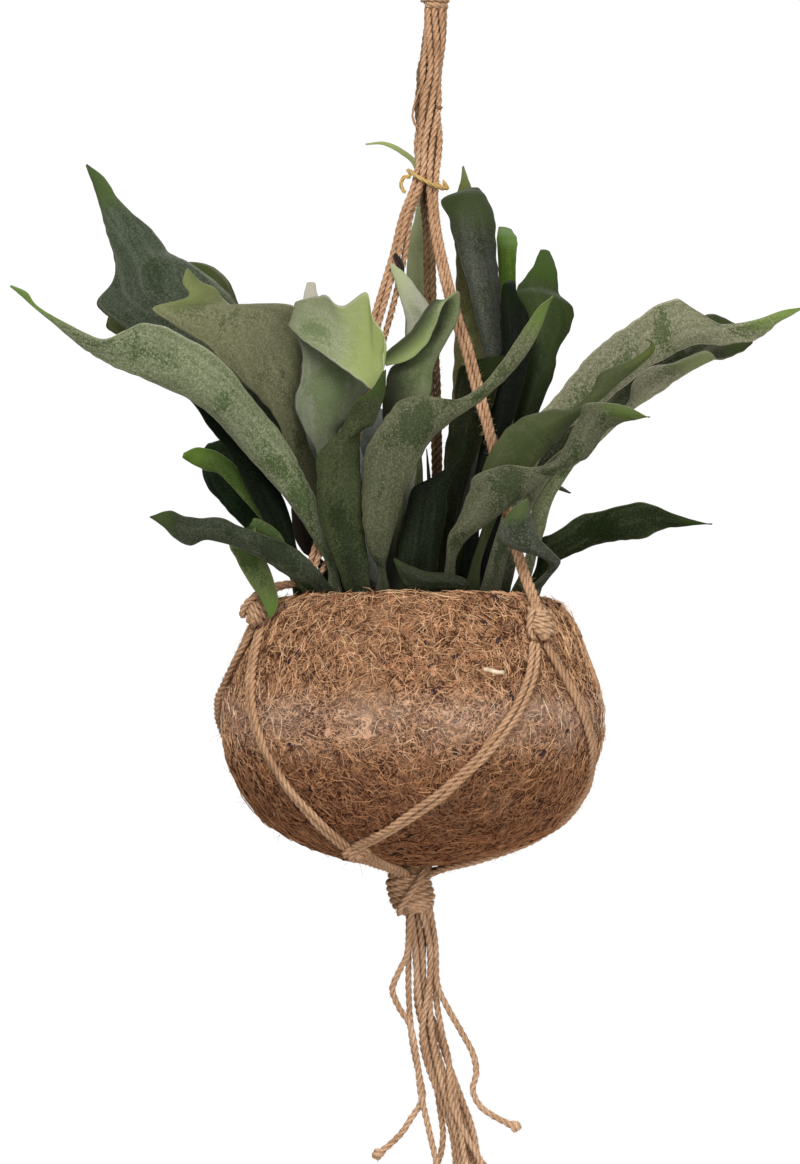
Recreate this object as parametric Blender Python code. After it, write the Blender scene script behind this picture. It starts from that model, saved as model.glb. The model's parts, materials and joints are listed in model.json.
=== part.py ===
"""Staghorn fern in a coir ball pot, hung in a jute macrame hanger.

Lengths below are millimetres and become metres in the meshes. The origin is the inside top of the
hanging loop, +Z is up, and the front of the plant faces -Y. A frond is drawn by rows from its foot to
its tip: left edge (x, z), right edge (x, z), depth y, how much further back the right edge lies, and
how far the middle bulges. Rows are drawn in a front elevation seen from VIEW_DISTANCE, and drawn()
puts a point where that elevation shows it at its depth.
"""

from math import cos, radians, sin

import bmesh
import bpy
from mathutils import Vector

MM = 0.001
GAP = 0.3

# Driving dimensions
POT_AXIS_X = -13.0
POT_WALL = 9.0
POT_FOOT_Z = -557.0
CORD_DIAMETER = 3.9
LEG_DIAMETER = 7.0
PAIR_DIAMETER = 5.0
NET_CLEARANCE = 3.9
FROND_THICKNESS = 1.2
VIEW_DISTANCE = 2200.0
VIEW_X = -20.0
VIEW_Z = -395.0

# Heights and places of the hanger
LOOP_TOP_RADIUS = 10.0
LOOP_CORD = 6.0
TOP_KNOT_Z = -54.0
TIE_Z = -164.0
KNOT_RADIUS = 6.2
KNOT_HEIGHT = 22.0
UPPER_KNOTS = {"left": (-64.0, -413.0), "right": (45.0, -420.0), "back": (172.0, -414.0)}
CROSSINGS = {"front": (-33.0, -547.0), "right": (95.0, -538.0), "back": (206.0, -545.0)}
GATHER_X = -14.0
GATHER_TOP_Z = -559.5
GATHER_FOOT_Z = -586.0

# Where each leg goes on its way from the tie to its knot: the left one is pushed aside and bends over the rim
LEG_BENDS = {
    "left": (
        (-15, -5, -184), (-21, -8, -207), (-31, -14, -240), (-45, -24, -290), (-57, -33, -345),
        (-68, -39.5, -384), (-77, -41.5, -394.5), (-86, -41, -396.5)),
    "right": (
        (-2.2, -4.6, -178), (1.7, -10.5, -203), (12, -20, -243), (18, -24, -261), (26.6, -31.5, -294),
        (31.8, -36.3, -314), (46, -52, -377)),
    "back": ((-3, 15, -191), (-2, 28, -233), (0.5, 45, -281), (2, 62, -329), (2, 76, -368)),
}

# Outer wall of the pot as radius and height, rim to foot
POT_OUTER = (
    (79.0, -402.5), (84.0, -403.5), (88.5, -408.0), (94.0, -418.0), (100.0, -433.0), (105.5, -448.0),
    (109.5, -463.0), (110.0, -475.0), (108.5, -489.0), (101.0, -511.0), (87.0, -530.0), (69.0, -543.0),
    (46.0, -552.0), (22.0, -556.5),
)
POT_INNER = (
    (75.0, -405.0), (77.0, -412.0), (89.0, -432.0), (99.0, -458.0), (101.0, -475.0), (98.0, -494.0),
    (86.0, -516.0), (66.0, -532.0), (44.0, -541.0), (20.0, -546.0),
)

# Fronds by name: colour, foot (x, y), lean and the rows (x left, z left, x right, z right, y, tilt, bulge)
FRONDS = {
    "frond_far_left_strap": ("olive", (-57, -44), -25, (
        (-62, -387, -57, -386, -46, 0, 0.5), (-74, -365, -64, -365, -50, 0, 2),
        (-87, -346, -69, -346, -53, 2, 4), (-106, -325, -76, -332, -56, 4, 6),
        (-126, -302, -87, -311, -60, 6, 7), (-143, -289, -105, -289, -64, 6, 6),
        (-165, -279, -124, -266, -68, 6, 5), (-184, -271, -150, -250, -72, 4, 4),
        (-194, -266, -167, -245, -74, 3, 3), (-200, -262, -178, -249, -75, 2, 2),
        (-206, -258, -193, -254, -77, 0, 1), (-220, -246, -215, -244, -82, 0, 0.5),
        (-231, -237, -230, -235, -86, 0, 0), (-240, -229, -236, -227, -88, 0, 0.5),
        (-246, -224, -245, -223, -89, 0, 0))),
    "frond_upper_left": ("grey", (-52, 6), 45, (
        (-70, -360, -60, -358, 8, 0, 1), (-105, -310, -78, -300, 14, 0, 3),
        (-140, -275, -100, -262, 20, 4, 5), (-177, -249, -112, -238, 24, 6, 6),
        (-195, -235, -126, -222, 26, 6, 5), (-186, -220, -143, -209, 28, 4, 4),
        (-186, -206, -154, -203, 30, 3, 3), (-189, -196, -162, -193, 31, 2, 2),
        (-194, -177, -182, -174, 33, 1, 1), (-198, -165, -191, -161, 34, 0, 0.5),
        (-202, -154, -201, -153, 35, 0, 0))),
    "frond_left_broad": ("taupe", (-48, -24), 8, (
        (-66, -372, -58, -371, -25, 0, 1), (-84, -335, -66, -335, -26, 2, 3),
        (-89, -307, -78, -295, -34, 3, 4), (-100, -290, -76, -275, -34, 4, 5),
        (-118, -273, -77, -250, -33, 6, 6), (-134, -257, -82, -235, -32, 6, 6),
        (-150, -247, -107, -234, -32, 5, 5), (-164, -237, -118, -234, -31, 4, 4),
        (-143, -230, -127, -225, -31, 2, 2), (-146, -222, -136, -220, -31, 1, 1),
        (-144, -214, -143, -213, -31, 0, 0))),
    "frond_folded_fan": ("lime", (-42, -45), -10, (
        (-52, -375, -44, -375, -48, 0, 1), (-62, -345, -48, -345, -50, 0, 2),
        (-69, -318, -56, -312, -50, 2, 3), (-76, -306, -49, -300, -50, 3, 4),
        (-81, -292, -44, -291, -48, 4, 5), (-78, -279, -37, -279, -45, 4, 5),
        (-77, -264, -40, -257, -42, 3, 5), (-81, -251, -58, -238, -42, 0, 3),
        (-85, -247, -80, -233, -48, 0, 1), (-80, -252, -77, -231, -56, 2, 1.5),
        (-72, -258, -70, -230, -61, 2, 2), (-60, -266, -63, -229, -65, 2, 3),
        (-49, -274, -54, -235, -68, 2, 3), (-41, -280, -40, -227, -70, 2, 3),
        (-35, -284, -36, -241, -71, 1, 2), (-31, -275, -29, -251, -71, 0, 1),
        (-30, -263, -28, -257, -71, 0, 0))),
    "frond_front_upright": ("olive", (-42, -60), -12, (
        (-57, -386, -38, -387, -61, 0, 2), (-66, -362, -41, -362, -64, 0, 4),
        (-68, -346, -42, -346, -67, 0, 5), (-68, -324, -43, -324, -69, 0, 5),
        (-63, -315, -43, -311, -70, 0, 4), (-55, -308, -40, -306, -71, 0, 3),
        (-50, -297, -35, -303, -71, -2, 2), (-46, -290, -29, -287, -74, -3, 2),
        (-37, -284, -28, -277, -76, -2, 1), (-30, -273, -28, -272, -77, 0, 0))),
    "frond_curled_pale": ("pale", (-22, -46), 0, (
        (-26, -365, -18, -365, -46, 0, 1), (-27, -320, -14, -320, -44, 0, 2),
        (-30, -300, -6, -300, -42, 0, 3), (-29, -283, -2, -284, -41, 0, 4),
        (-26, -272, 0, -272, -40, 0, 4), (-18, -266, 2, -264, -38, 0, 3),
        (-8, -258, 8, -254, -36, 0, 3), (0, -248, 13, -244, -36, 0, 2),
        (2, -240, 15, -233, -38, 0, 1.5), (4, -234, 13, -227, -42, 0, 1),
        (-1, -232, 5, -235, -47, 0, 1), (-9, -243, 0, -248, -50, 0, 1.5),
        (-16, -252, -6, -259, -51, 0, 2), (-27, -261, -16, -267, -50, 0, 1.5),
        (-30, -265, -28, -270, -48, 0, 0))),
    "frond_pale_tip": ("pale", (-20, -32), 0, (
        (-22, -360, -14, -360, -30, 0, 1), (-20, -300, -6, -300, -26, 0, 2),
        (-17, -270, -2, -262, -22, 0, 2), (-16, -251, -2, -238, -19, 0, 2),
        (-18, -238, -8, -228, -18, 0, 1.5), (-21, -227, -15, -218, -17, 0, 1),
        (-25, -215, -21, -213, -17, 0, 0.5), (-26, -211, -25, -210, -17, 0, 0))),
    "frond_front_sweep": ("olive", (-29, -63), -35, (
        (-33, -388, -28, -388, -64, 0, 1), (-38, -377, -27, -379, -66, 0, 2),
        (-42, -358, -21, -358, -69, 0, 4), (-42, -338, -17, -343, -73, 0, 5),
        (-40, -318, -10, -328, -76, 0, 6), (-30, -302, -3, -315, -77, 2, 6),
        (-20, -290, 9, -303, -76, 2, 5), (-6, -287, 22, -294, -74, 2, 4),
        (12, -289, 32, -286, -71, 2, 3), (27, -281, 40, -279, -68, 1, 2),
        (39, -267, 49, -269, -66, 0, 1.5), (46, -257, 56, -259, -65, 0, 1),
        (53, -246, 62, -247, -65, 0, 0.7), (60, -236, 66, -236, -65, 0, 0.4),
        (68, -230, 69, -229, -65, 0, 0))),
    "frond_tall_dark": ("grey", (6, -4), 30, (
        (6, -350, 16, -350, -2, 0, 1), (14, -300, 32, -300, 3, 2, 3),
        (28, -270, 40, -268, 8, 0, 2), (24, -245, 39, -240, 11, 2, 3),
        (18, -222, 38, -222, 14, 3, 4), (13, -203, 36, -203, 17, 3, 4),
        (8, -185, 35, -186, 19, 3, 4), (4, -174, 31, -174, 20, 2, 3),
        (14, -169, 26, -167, 20, 0, 1))),
    "frond_green_strap": ("bright", (14, 14), 50, (
        (20, -350, 28, -350, 20, 0, 1), (30, -290, 42, -290, 28, 0, 2),
        (36, -250, 47, -250, 32, 0, 2), (37, -212, 47, -212, 34, 0, 2),
        (36, -197, 48, -198, 35, 0, 1), (37, -190, 45, -191, 35, 0, 0.5))),
    "frond_back_tip": ("bright", (2, 22), 60, (
        (6, -350, 14, -350, 30, 0, 1), (10, -290, 30, -290, 40, 0, 3),
        (12, -240, 34, -240, 46, 0, 3), (12, -200, 32, -200, 50, 0, 2),
        (11, -178, 25, -178, 52, 0, 1), (15, -163, 20, -163, 53, 0, 0.5),
        (16, -155, 17, -154, 54, 0, 0))),
    "frond_right_green": ("bright", (26, 6), 45, (
        (36, -350, 44, -350, 6, 0, 1), (46, -300, 60, -298, 6, 0, 2),
        (50, -280, 69, -275, 6, 0, 3), (53, -262, 72, -260, 6, 0, 3),
        (54, -246, 79, -247, 7, 0, 4), (47, -230, 80, -237, 8, 0, 4),
        (48, -224, 72, -229, 9, 0, 3), (57, -212, 71, -215, 10, 0, 2),
        (61, -203, 67, -204, 10, 0, 1))),
    "frond_dark_behind": ("dark", (18, -14), 18, (
        (20, -350, 28, -350, -13, 0, 1), (30, -300, 46, -300, -10, 0, 2),
        (38, -262, 56, -262, -7, 0, 3), (38, -240, 55, -242, -5, 0, 3),
        (39, -225, 48, -228, -3, 0, 2), (42, -221, 47, -222, -3, 0, 1))),
    "frond_upper_right_long": ("olive", (30, -18), 25, (
        (42, -346, 50, -350, -18, 0, 1), (55, -306, 68, -314, -16, 0, 3),
        (68, -290, 88, -300, -14, 2, 4), (88, -265, 108, -284, -12, 4, 5),
        (102, -253, 122, -272, -10, 6, 6), (117, -243, 139, -263, -8, 6, 6),
        (131, -234, 151, -258, -7, 6, 5), (142, -231, 165, -258, -6, 6, 4),
        (148, -239, 175, -257, -5, 4, 3), (155, -245, 184, -256, -4, 3, 3),
        (170, -246, 192, -251, -4, 2, 2), (186, -243, 199, -245, -4, 1, 1),
        (201, -238, 208, -240, -5, 0, 0.5), (212, -236, 213, -237, -6, 0, 0.3),
        (221, -234, 222, -233, -7, 0, 0))),
    "frond_right_lobe": ("taupe", (36, -2), 26, (
        (50, -345, 58, -350, 0, 0, 1), (78, -314, 88, -322, 5, 0, 2),
        (100, -298, 106, -304, 9, 0, 1.5), (112, -291, 117, -294, 11, 0, 1),
        (115, -279, 130, -286, 13, 0, 3), (124, -271, 138, -280, 14, 0, 3),
        (136, -269, 148, -273, 15, 0, 3), (150, -263, 158, -268, 16, 0, 2),
        (156, -261, 163, -266, 16, 0, 1))),
    "frond_right_dark": ("dark", (22, 20), 50, (
        (36, -345, 46, -348, 22, 0, 1), (80, -300, 92, -312, 28, 0, 3),
        (118, -262, 128, -280, 32, 0, 4), (140, -252, 152, -268, 34, 0, 4),
        (158, -240, 166, -266, 34, 0, 3), (172, -244, 178, -262, 34, 0, 2),
        (180, -250, 184, -257, 34, 0, 1))),
    "frond_green_s_tip": ("lime", (20, -46), -15, (
        (21, -385, 27, -384, -53, 0, 1), (28, -362, 36, -358, -60, 0, 1.5),
        (27, -340, 44, -336, -62, 0, 3), (28, -328, 52, -334, -62, 0, 4),
        (39, -309, 63, -322, -61, 2, 5), (53, -299, 72, -312, -59, 2, 5),
        (69, -295, 79, -304, -57, 1, 3), (80, -294, 87, -297, -55, 0, 2),
        (91, -284, 97, -289, -53, 0, 2), (96, -274, 109, -278, -51, 0, 2.5),
        (114, -266, 120, -269, -50, 0, 1.5), (124, -259, 127, -262, -50, 0, 1),
        (125, -255, 127, -257, -50, 0, 0.5), (122, -255, 123, -254, -51, 0, 0))),
    "frond_front_right_twist": ("olive", (8, -61), -35, (
        (6, -386, 12, -386, -64, 0, 1), (8, -368, 17, -373, -68, 0, 2),
        (13, -360, 30, -362, -73, 0, 4), (19, -344, 47, -349, -77, 2, 5),
        (22, -334, 55, -343, -78, 2, 5), (34, -329, 61, -338, -77, 2, 4),
        (44, -327, 69, -333, -75, 1, 3), (56, -329, 74, -331, -74, 0, 2),
        (69, -325, 83, -326, -73, 0, 2), (75, -316, 90, -322, -72, 0, 3),
        (84, -299, 98, -309, -71, 0, 4), (87, -292, 105, -305, -70, 0, 3),
        (100, -291, 112, -302, -70, 0, 2), (113, -294, 117, -301, -70, 0, 1),
        (124, -300, 125, -299, -70, 0, 0))),
    "frond_strap_right": ("olive", (46, -20), -5, (
        (50, -388, 57, -388, -23, 0, 1), (56, -366, 64, -364, -27, 0, 2),
        (56, -354, 67, -352, -31, 0, 2), (60, -345, 71, -343, -34, 0, 2),
        (67, -334, 77, -334, -36, 0, 1.5), (76, -322, 84, -322, -38, 0, 1),
        (83, -309, 87, -309, -39, 0, 0.5), (87, -301, 88, -300, -40, 0, 0))),
    "frond_small_folded": ("grey", (47, -28), -10, (
        (60, -393, 68, -391, -38, 0, 1), (66, -386, 73, -383, -48, 0, 1.5),
        (62, -381, 69, -378, -61, 0, 2), (49, -377, 62, -371, -70, 0, 3),
        (38, -372, 58, -364, -73, 0, 3), (38, -363, 56, -356, -74, 0, 3),
        (45, -353, 55, -350, -74, 0, 1.5), (53, -347, 54, -346, -74, 0, 0))),
    "frond_right_low_strap": ("dark", (53, -8), -30, (
        (58, -388, 64, -393, -10, 0, 1), (61, -371, 71, -384, -15, 0, 3),
        (70, -366, 82, -378, -20, 0, 3), (84, -357, 96, -373, -24, 0, 3),
        (100, -353, 110, -371, -28, 0, 3), (118, -349, 123, -369, -30, 0, 2.5),
        (129, -351, 134, -364, -31, 0, 2), (140, -356, 144, -363, -32, 0, 1),
        (160, -362, 161, -361, -33, 0, 0))),
    "frond_left_low_strap": ("grey", (-57, -52), -25, (
        (-71, -398, -62, -395, -58, 0, 1), (-81, -394, -68, -387, -61, 0, 2),
        (-92, -387, -81, -375, -64, 0, 3), (-104, -380, -98, -368, -67, 0, 3),
        (-117, -374, -112, -363, -69, 0, 3), (-125, -372, -123, -358, -70, 0, 2.5),
        (-134, -371, -135, -358, -71, 0, 2), (-142, -374, -144, -357, -72, 0, 2),
        (-150, -370, -151, -354, -73, 0, 1.5), (-156, -364, -156, -354, -74, 0, 1),
        (-164, -358, -165, -357, -75, 0, 0))),
    "frond_left_bright": ("bright", (-75, -10), -10, (
        (-84, -392, -80, -390, -13, 0, 0.5), (-94, -370, -91, -367, -18, 0, 1),
        (-103, -356, -100, -352, -22, 0, 1), (-113, -345, -107, -340, -25, 0, 1.5),
        (-124, -333, -114, -329, -28, 0, 2), (-134, -330, -125, -320, -30, 0, 2),
        (-143, -325, -137, -317, -32, 0, 1), (-146, -323, -145, -320, -33, 0, 0))),
    "frond_left_very_dark": ("dark", (-70, 6), 30, (
        (-84, -388, -76, -386, 6, 0, 1), (-112, -362, -95, -352, 8, 0, 3),
        (-127, -345, -108, -335, 10, 0, 4), (-134, -335, -112, -322, 12, 0, 4),
        (-134, -322, -116, -313, 13, 0, 3), (-132, -316, -124, -316, 14, 0, 1))),
    "frond_over_rim": ("bright", (-64, -47), 0, (
        (-86, -388, -80, -385, -50, 0, 1), (-98, -372, -90, -366, -53, 0, 2),
        (-112, -366, -104, -358, -55, 0, 2), (-119, -372, -103, -368, -57, 0, 2),
        (-115, -382, -99, -380, -60, 0, 3), (-109, -393, -94, -391, -61, 0, 3),
        (-102, -403, -91, -402, -59, 0, 2), (-98, -410, -91, -410, -60, 0, 1),
        (-96, -416, -95, -416, -60, 0, 0))),
    "frond_dark_strap_left": ("dark", (-68, -28), 0, (
        (-82, -390, -74, -388, -31, 0, 1), (-93, -369, -80, -374, -33, 0, 2),
        (-103, -352, -84, -355, -36, 0, 3), (-114, -330, -96, -330, -40, 0, 3),
        (-122, -316, -106, -312, -42, 0, 3), (-131, -305, -120, -298, -43, 0, 2),
        (-139, -293, -132, -288, -44, 0, 1), (-146, -286, -145, -285, -44, 0, 0))),
    "frond_rim_leaf": ("grey", (8, -65), 0, (
        (14, -401, 20, -395, -69, 0, 1), (4, -400, 8, -390, -71, 0, 2),
        (-8, -400, -3, -389, -73, 0, 2), (-17, -398, -13, -386, -73, 0, 1.5),
        (-24, -382, -23, -381, -73, 0, 0))),
    "frond_centre_dark": ("dark", (-8, -52), -5, (
        (-20, -388, 0, -388, -53, 0, 2), (-21, -376, 4, -374, -54, 0, 4),
        (-17, -355, 7, -356, -55, 0, 4), (-13, -341, 8, -342, -56, 0, 3),
        (-1, -334, 11, -334, -56, 0, 2), (10, -326, 15, -325, -56, 0, 1),
        (18, -313, 19, -312, -56, 0, 0))),
    "frond_centre_upper": ("dark", (6, -38), 0, (
        (4, -360, 12, -360, -27, 0, 1), (6, -320, 24, -320, -19, 0, 3),
        (11, -292, 34, -292, -14, 0, 3), (13, -275, 39, -277, -11, 0, 3),
        (18, -268, 42, -268, -10, 0, 2), (30, -265, 40, -264, -10, 0, 1))),
    "frond_behind_ropes": ("pale", (-14, 14), 0, (
        (-14, -350, -6, -350, 18, 0, 1), (-16, -300, -9, -300, 26, 0, 1.5),
        (-17, -262, -9, -262, 42, 0, 1.5), (-17, -240, -4, -238, 48, 0, 2),
        (-16, -212, -2, -205, 42, 0, 2), (-15, -197, -3, -192, 37, 0, 2),
        (-12, -186, -4, -184, 34, 0, 1), (-10, -172, -6, -171, 32, 0, 0.5),
        (-12, -155, -9, -153, 31, 0, 0.4), (-20, -147, -19, -144, 31, 0, 0.3),
        (-30, -142, -29, -140, 31, 0, 0.2), (-40, -142, -40, -141, 31, 0, 0))),
    "frond_left_back_lobed": ("bright", (-44, 22), 50, (
        (-62, -360, -54, -360, 26, 0, 1), (-98, -305, -82, -298, 36, 0, 3),
        (-130, -275, -100, -262, 44, 0, 4), (-156, -264, -110, -248, 47, 0, 5),
        (-180, -254, -114, -233, 49, 0, 5), (-190, -247, -120, -219, 50, 0, 4),
        (-187, -238, -131, -212, 51, 0, 3), (-170, -226, -145, -211, 52, 0, 1))),
    "frond_beige_tip": ("beige", (-38, 2), 20, (
        (-44, -350, -36, -350, 4, 0, 1), (-64, -290, -50, -290, 6, 0, 2),
        (-74, -250, -62, -250, 8, 0, 2), (-76, -232, -67, -232, 8, 0, 1),
        (-74, -222, -69, -222, 8, 0, 0.5))),
    "old_shield_frond": ("brown", (-60, -14), 0, (
        (-68, -385, -63, -385, -14, 0, 0.5), (-77, -377, -66, -380, -14, 0, 2),
        (-82, -365, -66, -368, -14, 0, 3), (-83, -350, -70, -352, -14, 0, 2),
        (-80, -342, -74, -342, -14, 0, 1))),
}

# Fronds on the back of the crown: azimuth from the front, reach, rise and half width
BACK_FRONDS = {
    "frond_back_left": (-140.0, 92.0, 95.0, 15.0),
    "frond_back_mid": (-168.0, 145.0, 115.0, 17.0),
    "frond_back_right": (151.0, 135.0, 105.0, 18.0),
    "frond_back_side": (124.0, 68.0, 61.0, 14.0),
}
BACK_FOOT_RADIUS = 46.0

COLOURS = {
    "olive": (0.14, 0.18, 0.09), "grey": (0.075, 0.1, 0.07), "taupe": (0.19, 0.19, 0.13),
    "lime": (0.2, 0.3, 0.1), "pale": (0.34, 0.38, 0.26), "bright": (0.09, 0.17, 0.04),
    "dark": (0.03, 0.045, 0.025), "beige": (0.5, 0.44, 0.36), "brown": (0.05, 0.025, 0.018),
    "coir": (0.3, 0.17, 0.08), "mix": (0.06, 0.04, 0.025), "jute": (0.42, 0.28, 0.15),
    "ochre": (0.5, 0.3, 0.09),
}

# The tassel: strays by name, each with its route, and the bundle of the strands that hang together
TASSEL_STRAYS = {
    "tassel_bowed_strand": (
        (-20, -6, -588), (-20.5, -8, -602), (-20, -11, -613), (-21, -14, -619), (-24, -15, -627),
        (-24, -14, -632), (-20, -13, -643), (-15, -12, -654), (-11, -11, -672), (-9, -10, -690),
        (-4, -10, -708), (1, -9, -730), (3, -9, -742)),
    "tassel_left_strand": (
        (-21.5, 3, -588), (-18.5, 3, -610), (-17.5, 0, -640), (-14, -3, -665), (-8, -3, -686),
        (-7, -3, -694), (-13, -5, -704), (-20, -7, -714), (-30, -8, -723), (-36, -8, -727)),
    "tassel_right_strand": (
        (-3.5, 1, -588), (1.5, 1, -607), (5, -2, -629), (9, -4, -643), (16, -6, -656), (22, -7, -667),
        (24, -8, -678), (22, -8, -688), (26, -8, -697), (34, -9, -703), (44, -9, -708), (50, -9, -710)),
    "tassel_curled_strand": (
        (-12, 10.5, -588), (-9, 10.5, -620), (-6, 12, -650), (0, 12, -680), (3, 10, -700),
        (5, 8, -716), (3, 6, -729), (-3, 4, -739), (-9, 3, -744)),
}
TASSEL_BUNDLE = (
    (-12.5, 2, -588), (-8.5, 2, -612), (-7, 2, -640), (-1.5, 3, -666), (7.5, 3, -692), (16, 3, -715),
    (22, 3, -746))
TASSEL_BUNDLE_DIAMETER = 11.0


def clear_scene():
    for obj in list(bpy.data.objects):
        bpy.data.objects.remove(obj, do_unlink=True)


def material(name):
    found = bpy.data.materials.get(name)
    if found is None:
        found = bpy.data.materials.new(name)
        found.use_nodes = True
        shader = found.node_tree.nodes["Principled BSDF"]
        shader.inputs["Base Color"].default_value = (*COLOURS[name], 1)
        shader.inputs["Roughness"].default_value = 0.85
        found.diffuse_color = (*COLOURS[name], 1)
    return found


def finished(name, bm, colour):
    """The mesh as a named object, with its faces pointing out."""
    bmesh.ops.recalc_face_normals(bm, faces=bm.faces)
    mesh = bpy.data.meshes.new(name)
    bm.to_mesh(mesh)
    bm.free()
    mesh.shade_smooth()
    obj = bpy.data.objects.new(name, mesh)
    bpy.context.scene.collection.objects.link(obj)
    mesh.materials.append(material(colour))
    return obj


def drawn(x, y, z):
    """The true place of a front-elevation point at depth y."""
    spread = (VIEW_DISTANCE + y) / VIEW_DISTANCE
    return Vector((VIEW_X + (x - VIEW_X) * spread, y, VIEW_Z + (z - VIEW_Z) * spread))


def round_pot(radius, azimuth, z):
    """A point at this distance from the pot's axis; azimuth 0 is the front, 90 the right."""
    angle = radians(azimuth)
    return Vector((POT_AXIS_X + radius * sin(angle), -radius * cos(angle), z))


def crown_height(x, y):
    """Top of the potting mix, a low dome."""
    reach = Vector((x - POT_AXIS_X, y)).length
    return -403.0 - 5.0 * (reach / 75.0) ** 2


def turned(name, profile, colour, sides, place, wraps=False):
    """A solid of revolution from rings (radius, z). It closes on the axis, or wraps back to its first ring."""
    bm = bmesh.new()
    rings = []
    for radius, z in profile:
        count = sides if radius > 0 else 1
        rings.append([bm.verts.new(place(radius, 360.0 * i / count, z) * MM) for i in range(count)])
    pairs = list(zip(rings, rings[1:]))
    if wraps:
        pairs.append((rings[-1], rings[0]))
    for upper, lower in pairs:
        for i in range(sides if len(upper) + len(lower) > 2 else 0):
            j = (i + 1) % sides
            corners = [upper[i % len(upper)], upper[j % len(upper)], lower[j % len(lower)], lower[i % len(lower)]]
            bm.faces.new(list(dict.fromkeys(corners)))
    return finished(name, bm, colour)


def smooth_route(points, spacing):
    """Points along a Catmull-Rom curve through the route, about this far apart."""
    route = [Vector(p) for p in points]
    route = [2 * route[0] - route[1], *route, 2 * route[-1] - route[-2]]
    out = []
    for a, b, c, d in zip(route, route[1:], route[2:], route[3:]):
        steps = max(1, round((c - b).length / spacing))
        for k in range(steps):
            t = k / steps
            out.append(0.5 * (2 * b + (c - a) * t + (2 * a - 5 * b + 4 * c - d) * t ** 2
                              + (3 * b - a - 3 * c + d) * t ** 3))
    out.append(route[-2])
    return out


def tube(name, points, diameter, colour, resolution=2, spacing=2.5, closed=False):
    """A round cord along a smooth route, as a bevelled poly curve."""
    route = smooth_route(points, diameter * spacing)
    curve = bpy.data.curves.new(name, "CURVE")
    curve.dimensions = "3D"
    curve.bevel_depth = diameter / 2 * MM
    curve.bevel_resolution = resolution
    curve.use_fill_caps = not closed
    spline = curve.splines.new("POLY")
    if closed:
        route = route[:-1]
    spline.points.add(len(route) - 1)
    for target, place in zip(spline.points, route):
        target.co = (*(place * MM), 1)
    spline.use_cyclic_u = closed
    curve.materials.append(material(colour))
    obj = bpy.data.objects.new(name, curve)
    bpy.context.scene.collection.objects.link(obj)
    return obj


def ribbon(name, edges, colour):
    """A thin closed blade. edges holds (left, right, bulge) from foot to tip."""
    across = (-1.0, -0.5, 0.0, 0.5, 1.0)
    bm = bmesh.new()
    layers = []
    for i, (left, right, bulge) in enumerate(edges):
        before = edges[max(i - 1, 0)]
        after = edges[min(i + 1, len(edges) - 1)]
        along = (after[0] + after[1] - before[0] - before[1]).normalized()
        normal = (right - left).cross(along).normalized()
        station = []
        for v in across:
            place = (left + right) / 2 + (right - left) / 2 * v + normal * bulge * (1 - v * v)
            station.append(place)
        front = [bm.verts.new((p + normal * FROND_THICKNESS / 2) * MM) for p in station]
        back = [bm.verts.new((p - normal * FROND_THICKNESS / 2) * MM) for p in reversed(station)]
        layers.append(front + back)
    count = len(layers[0])
    for lower, upper in zip(layers, layers[1:]):
        for k in range(count):
            m = (k + 1) % count
            bm.faces.new((lower[k], lower[m], upper[m], upper[k]))
    for ring in (layers[0], layers[-1]):
        half = count // 2
        for k in range(half - 1):
            bm.faces.new((ring[k], ring[k + 1], ring[count - 2 - k], ring[count - 1 - k]))
    return finished(name, bm, colour)


def foot(x, y, half_width=3.5):
    """The bottom edge of a frond, standing just above the potting mix."""
    left = Vector((x - half_width, y, 0))
    right = Vector((x + half_width, y, 0))
    for edge in (left, right):
        edge.z = crown_height(edge.x, edge.y) + 2 * GAP
    return left, right, 0.0


def drawn_frond(name, colour, base, lean, rows):
    """lean is how much further back the tip stands than its rows say, less and less towards the foot."""
    edges = [foot(*base)]
    for i, (x_left, z_left, x_right, z_right, depth, tilt, bulge) in enumerate(rows, start=1):
        y = depth + lean * (i / len(rows)) ** 2
        edges.append((drawn(x_left, y - tilt / 2, z_left), drawn(x_right, y + tilt / 2, z_right), bulge))
    return ribbon(name, edges, colour)


def back_frond(name, azimuth, reach, rise, half_width):
    """A frond that leans out behind the crown and arches over."""
    start = round_pot(BACK_FOOT_RADIUS, azimuth, 0)
    edges = [foot(start.x, start.y)]
    angle = radians(azimuth)
    outward = Vector((sin(angle), -cos(angle), 0))
    sideways = Vector((cos(angle), sin(angle), 0))
    if sideways.x < 0:
        sideways = -sideways
    steps = 8
    for k in range(1, steps + 1):
        t = k / steps
        place = Vector((start.x, start.y, -400.0)) + outward * reach * t ** 1.3
        place.z += rise * sin(t * 1.9)
        width = 3.0 + (half_width - 3.0) * sin(min(1.0, t * 1.25) * 3.0) ** 1.2
        if k == steps:
            width = 0.6
        edges.append((place - sideways * width, place + sideways * width, 3.0 * sin(t * 3.0)))
    return ribbon(name, edges, "grey")


def wall_at(z):
    """The pot's outer radius at this height, and the wall's outward normal as (outward, up)."""
    for (r0, z0), (r1, z1) in zip(POT_OUTER, POT_OUTER[1:]):
        if z1 <= z <= z0:
            break
    return r0 + (r1 - r0) * (z0 - z) / (z0 - z1), Vector((z0 - z1, r1 - r0)).normalized()


def on_pot(azimuth, z, clearance):
    """A point this far off the pot's outer wall, measured square to the wall."""
    radius, normal = wall_at(z)
    return round_pot(radius + normal.x * clearance, azimuth, z + normal.y * clearance)


def upper_knot(side):
    """Centre and axis of the knot that lies on the pot's shoulder."""
    azimuth, z = UPPER_KNOTS[side]
    normal = wall_at(z)[1]
    outward = round_pot(1.0, azimuth, 0) - round_pot(0.0, azimuth, 0)
    return on_pot(azimuth, z, KNOT_RADIUS + 3 * GAP), Vector((0, 0, normal.x)) - outward * normal.y


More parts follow.
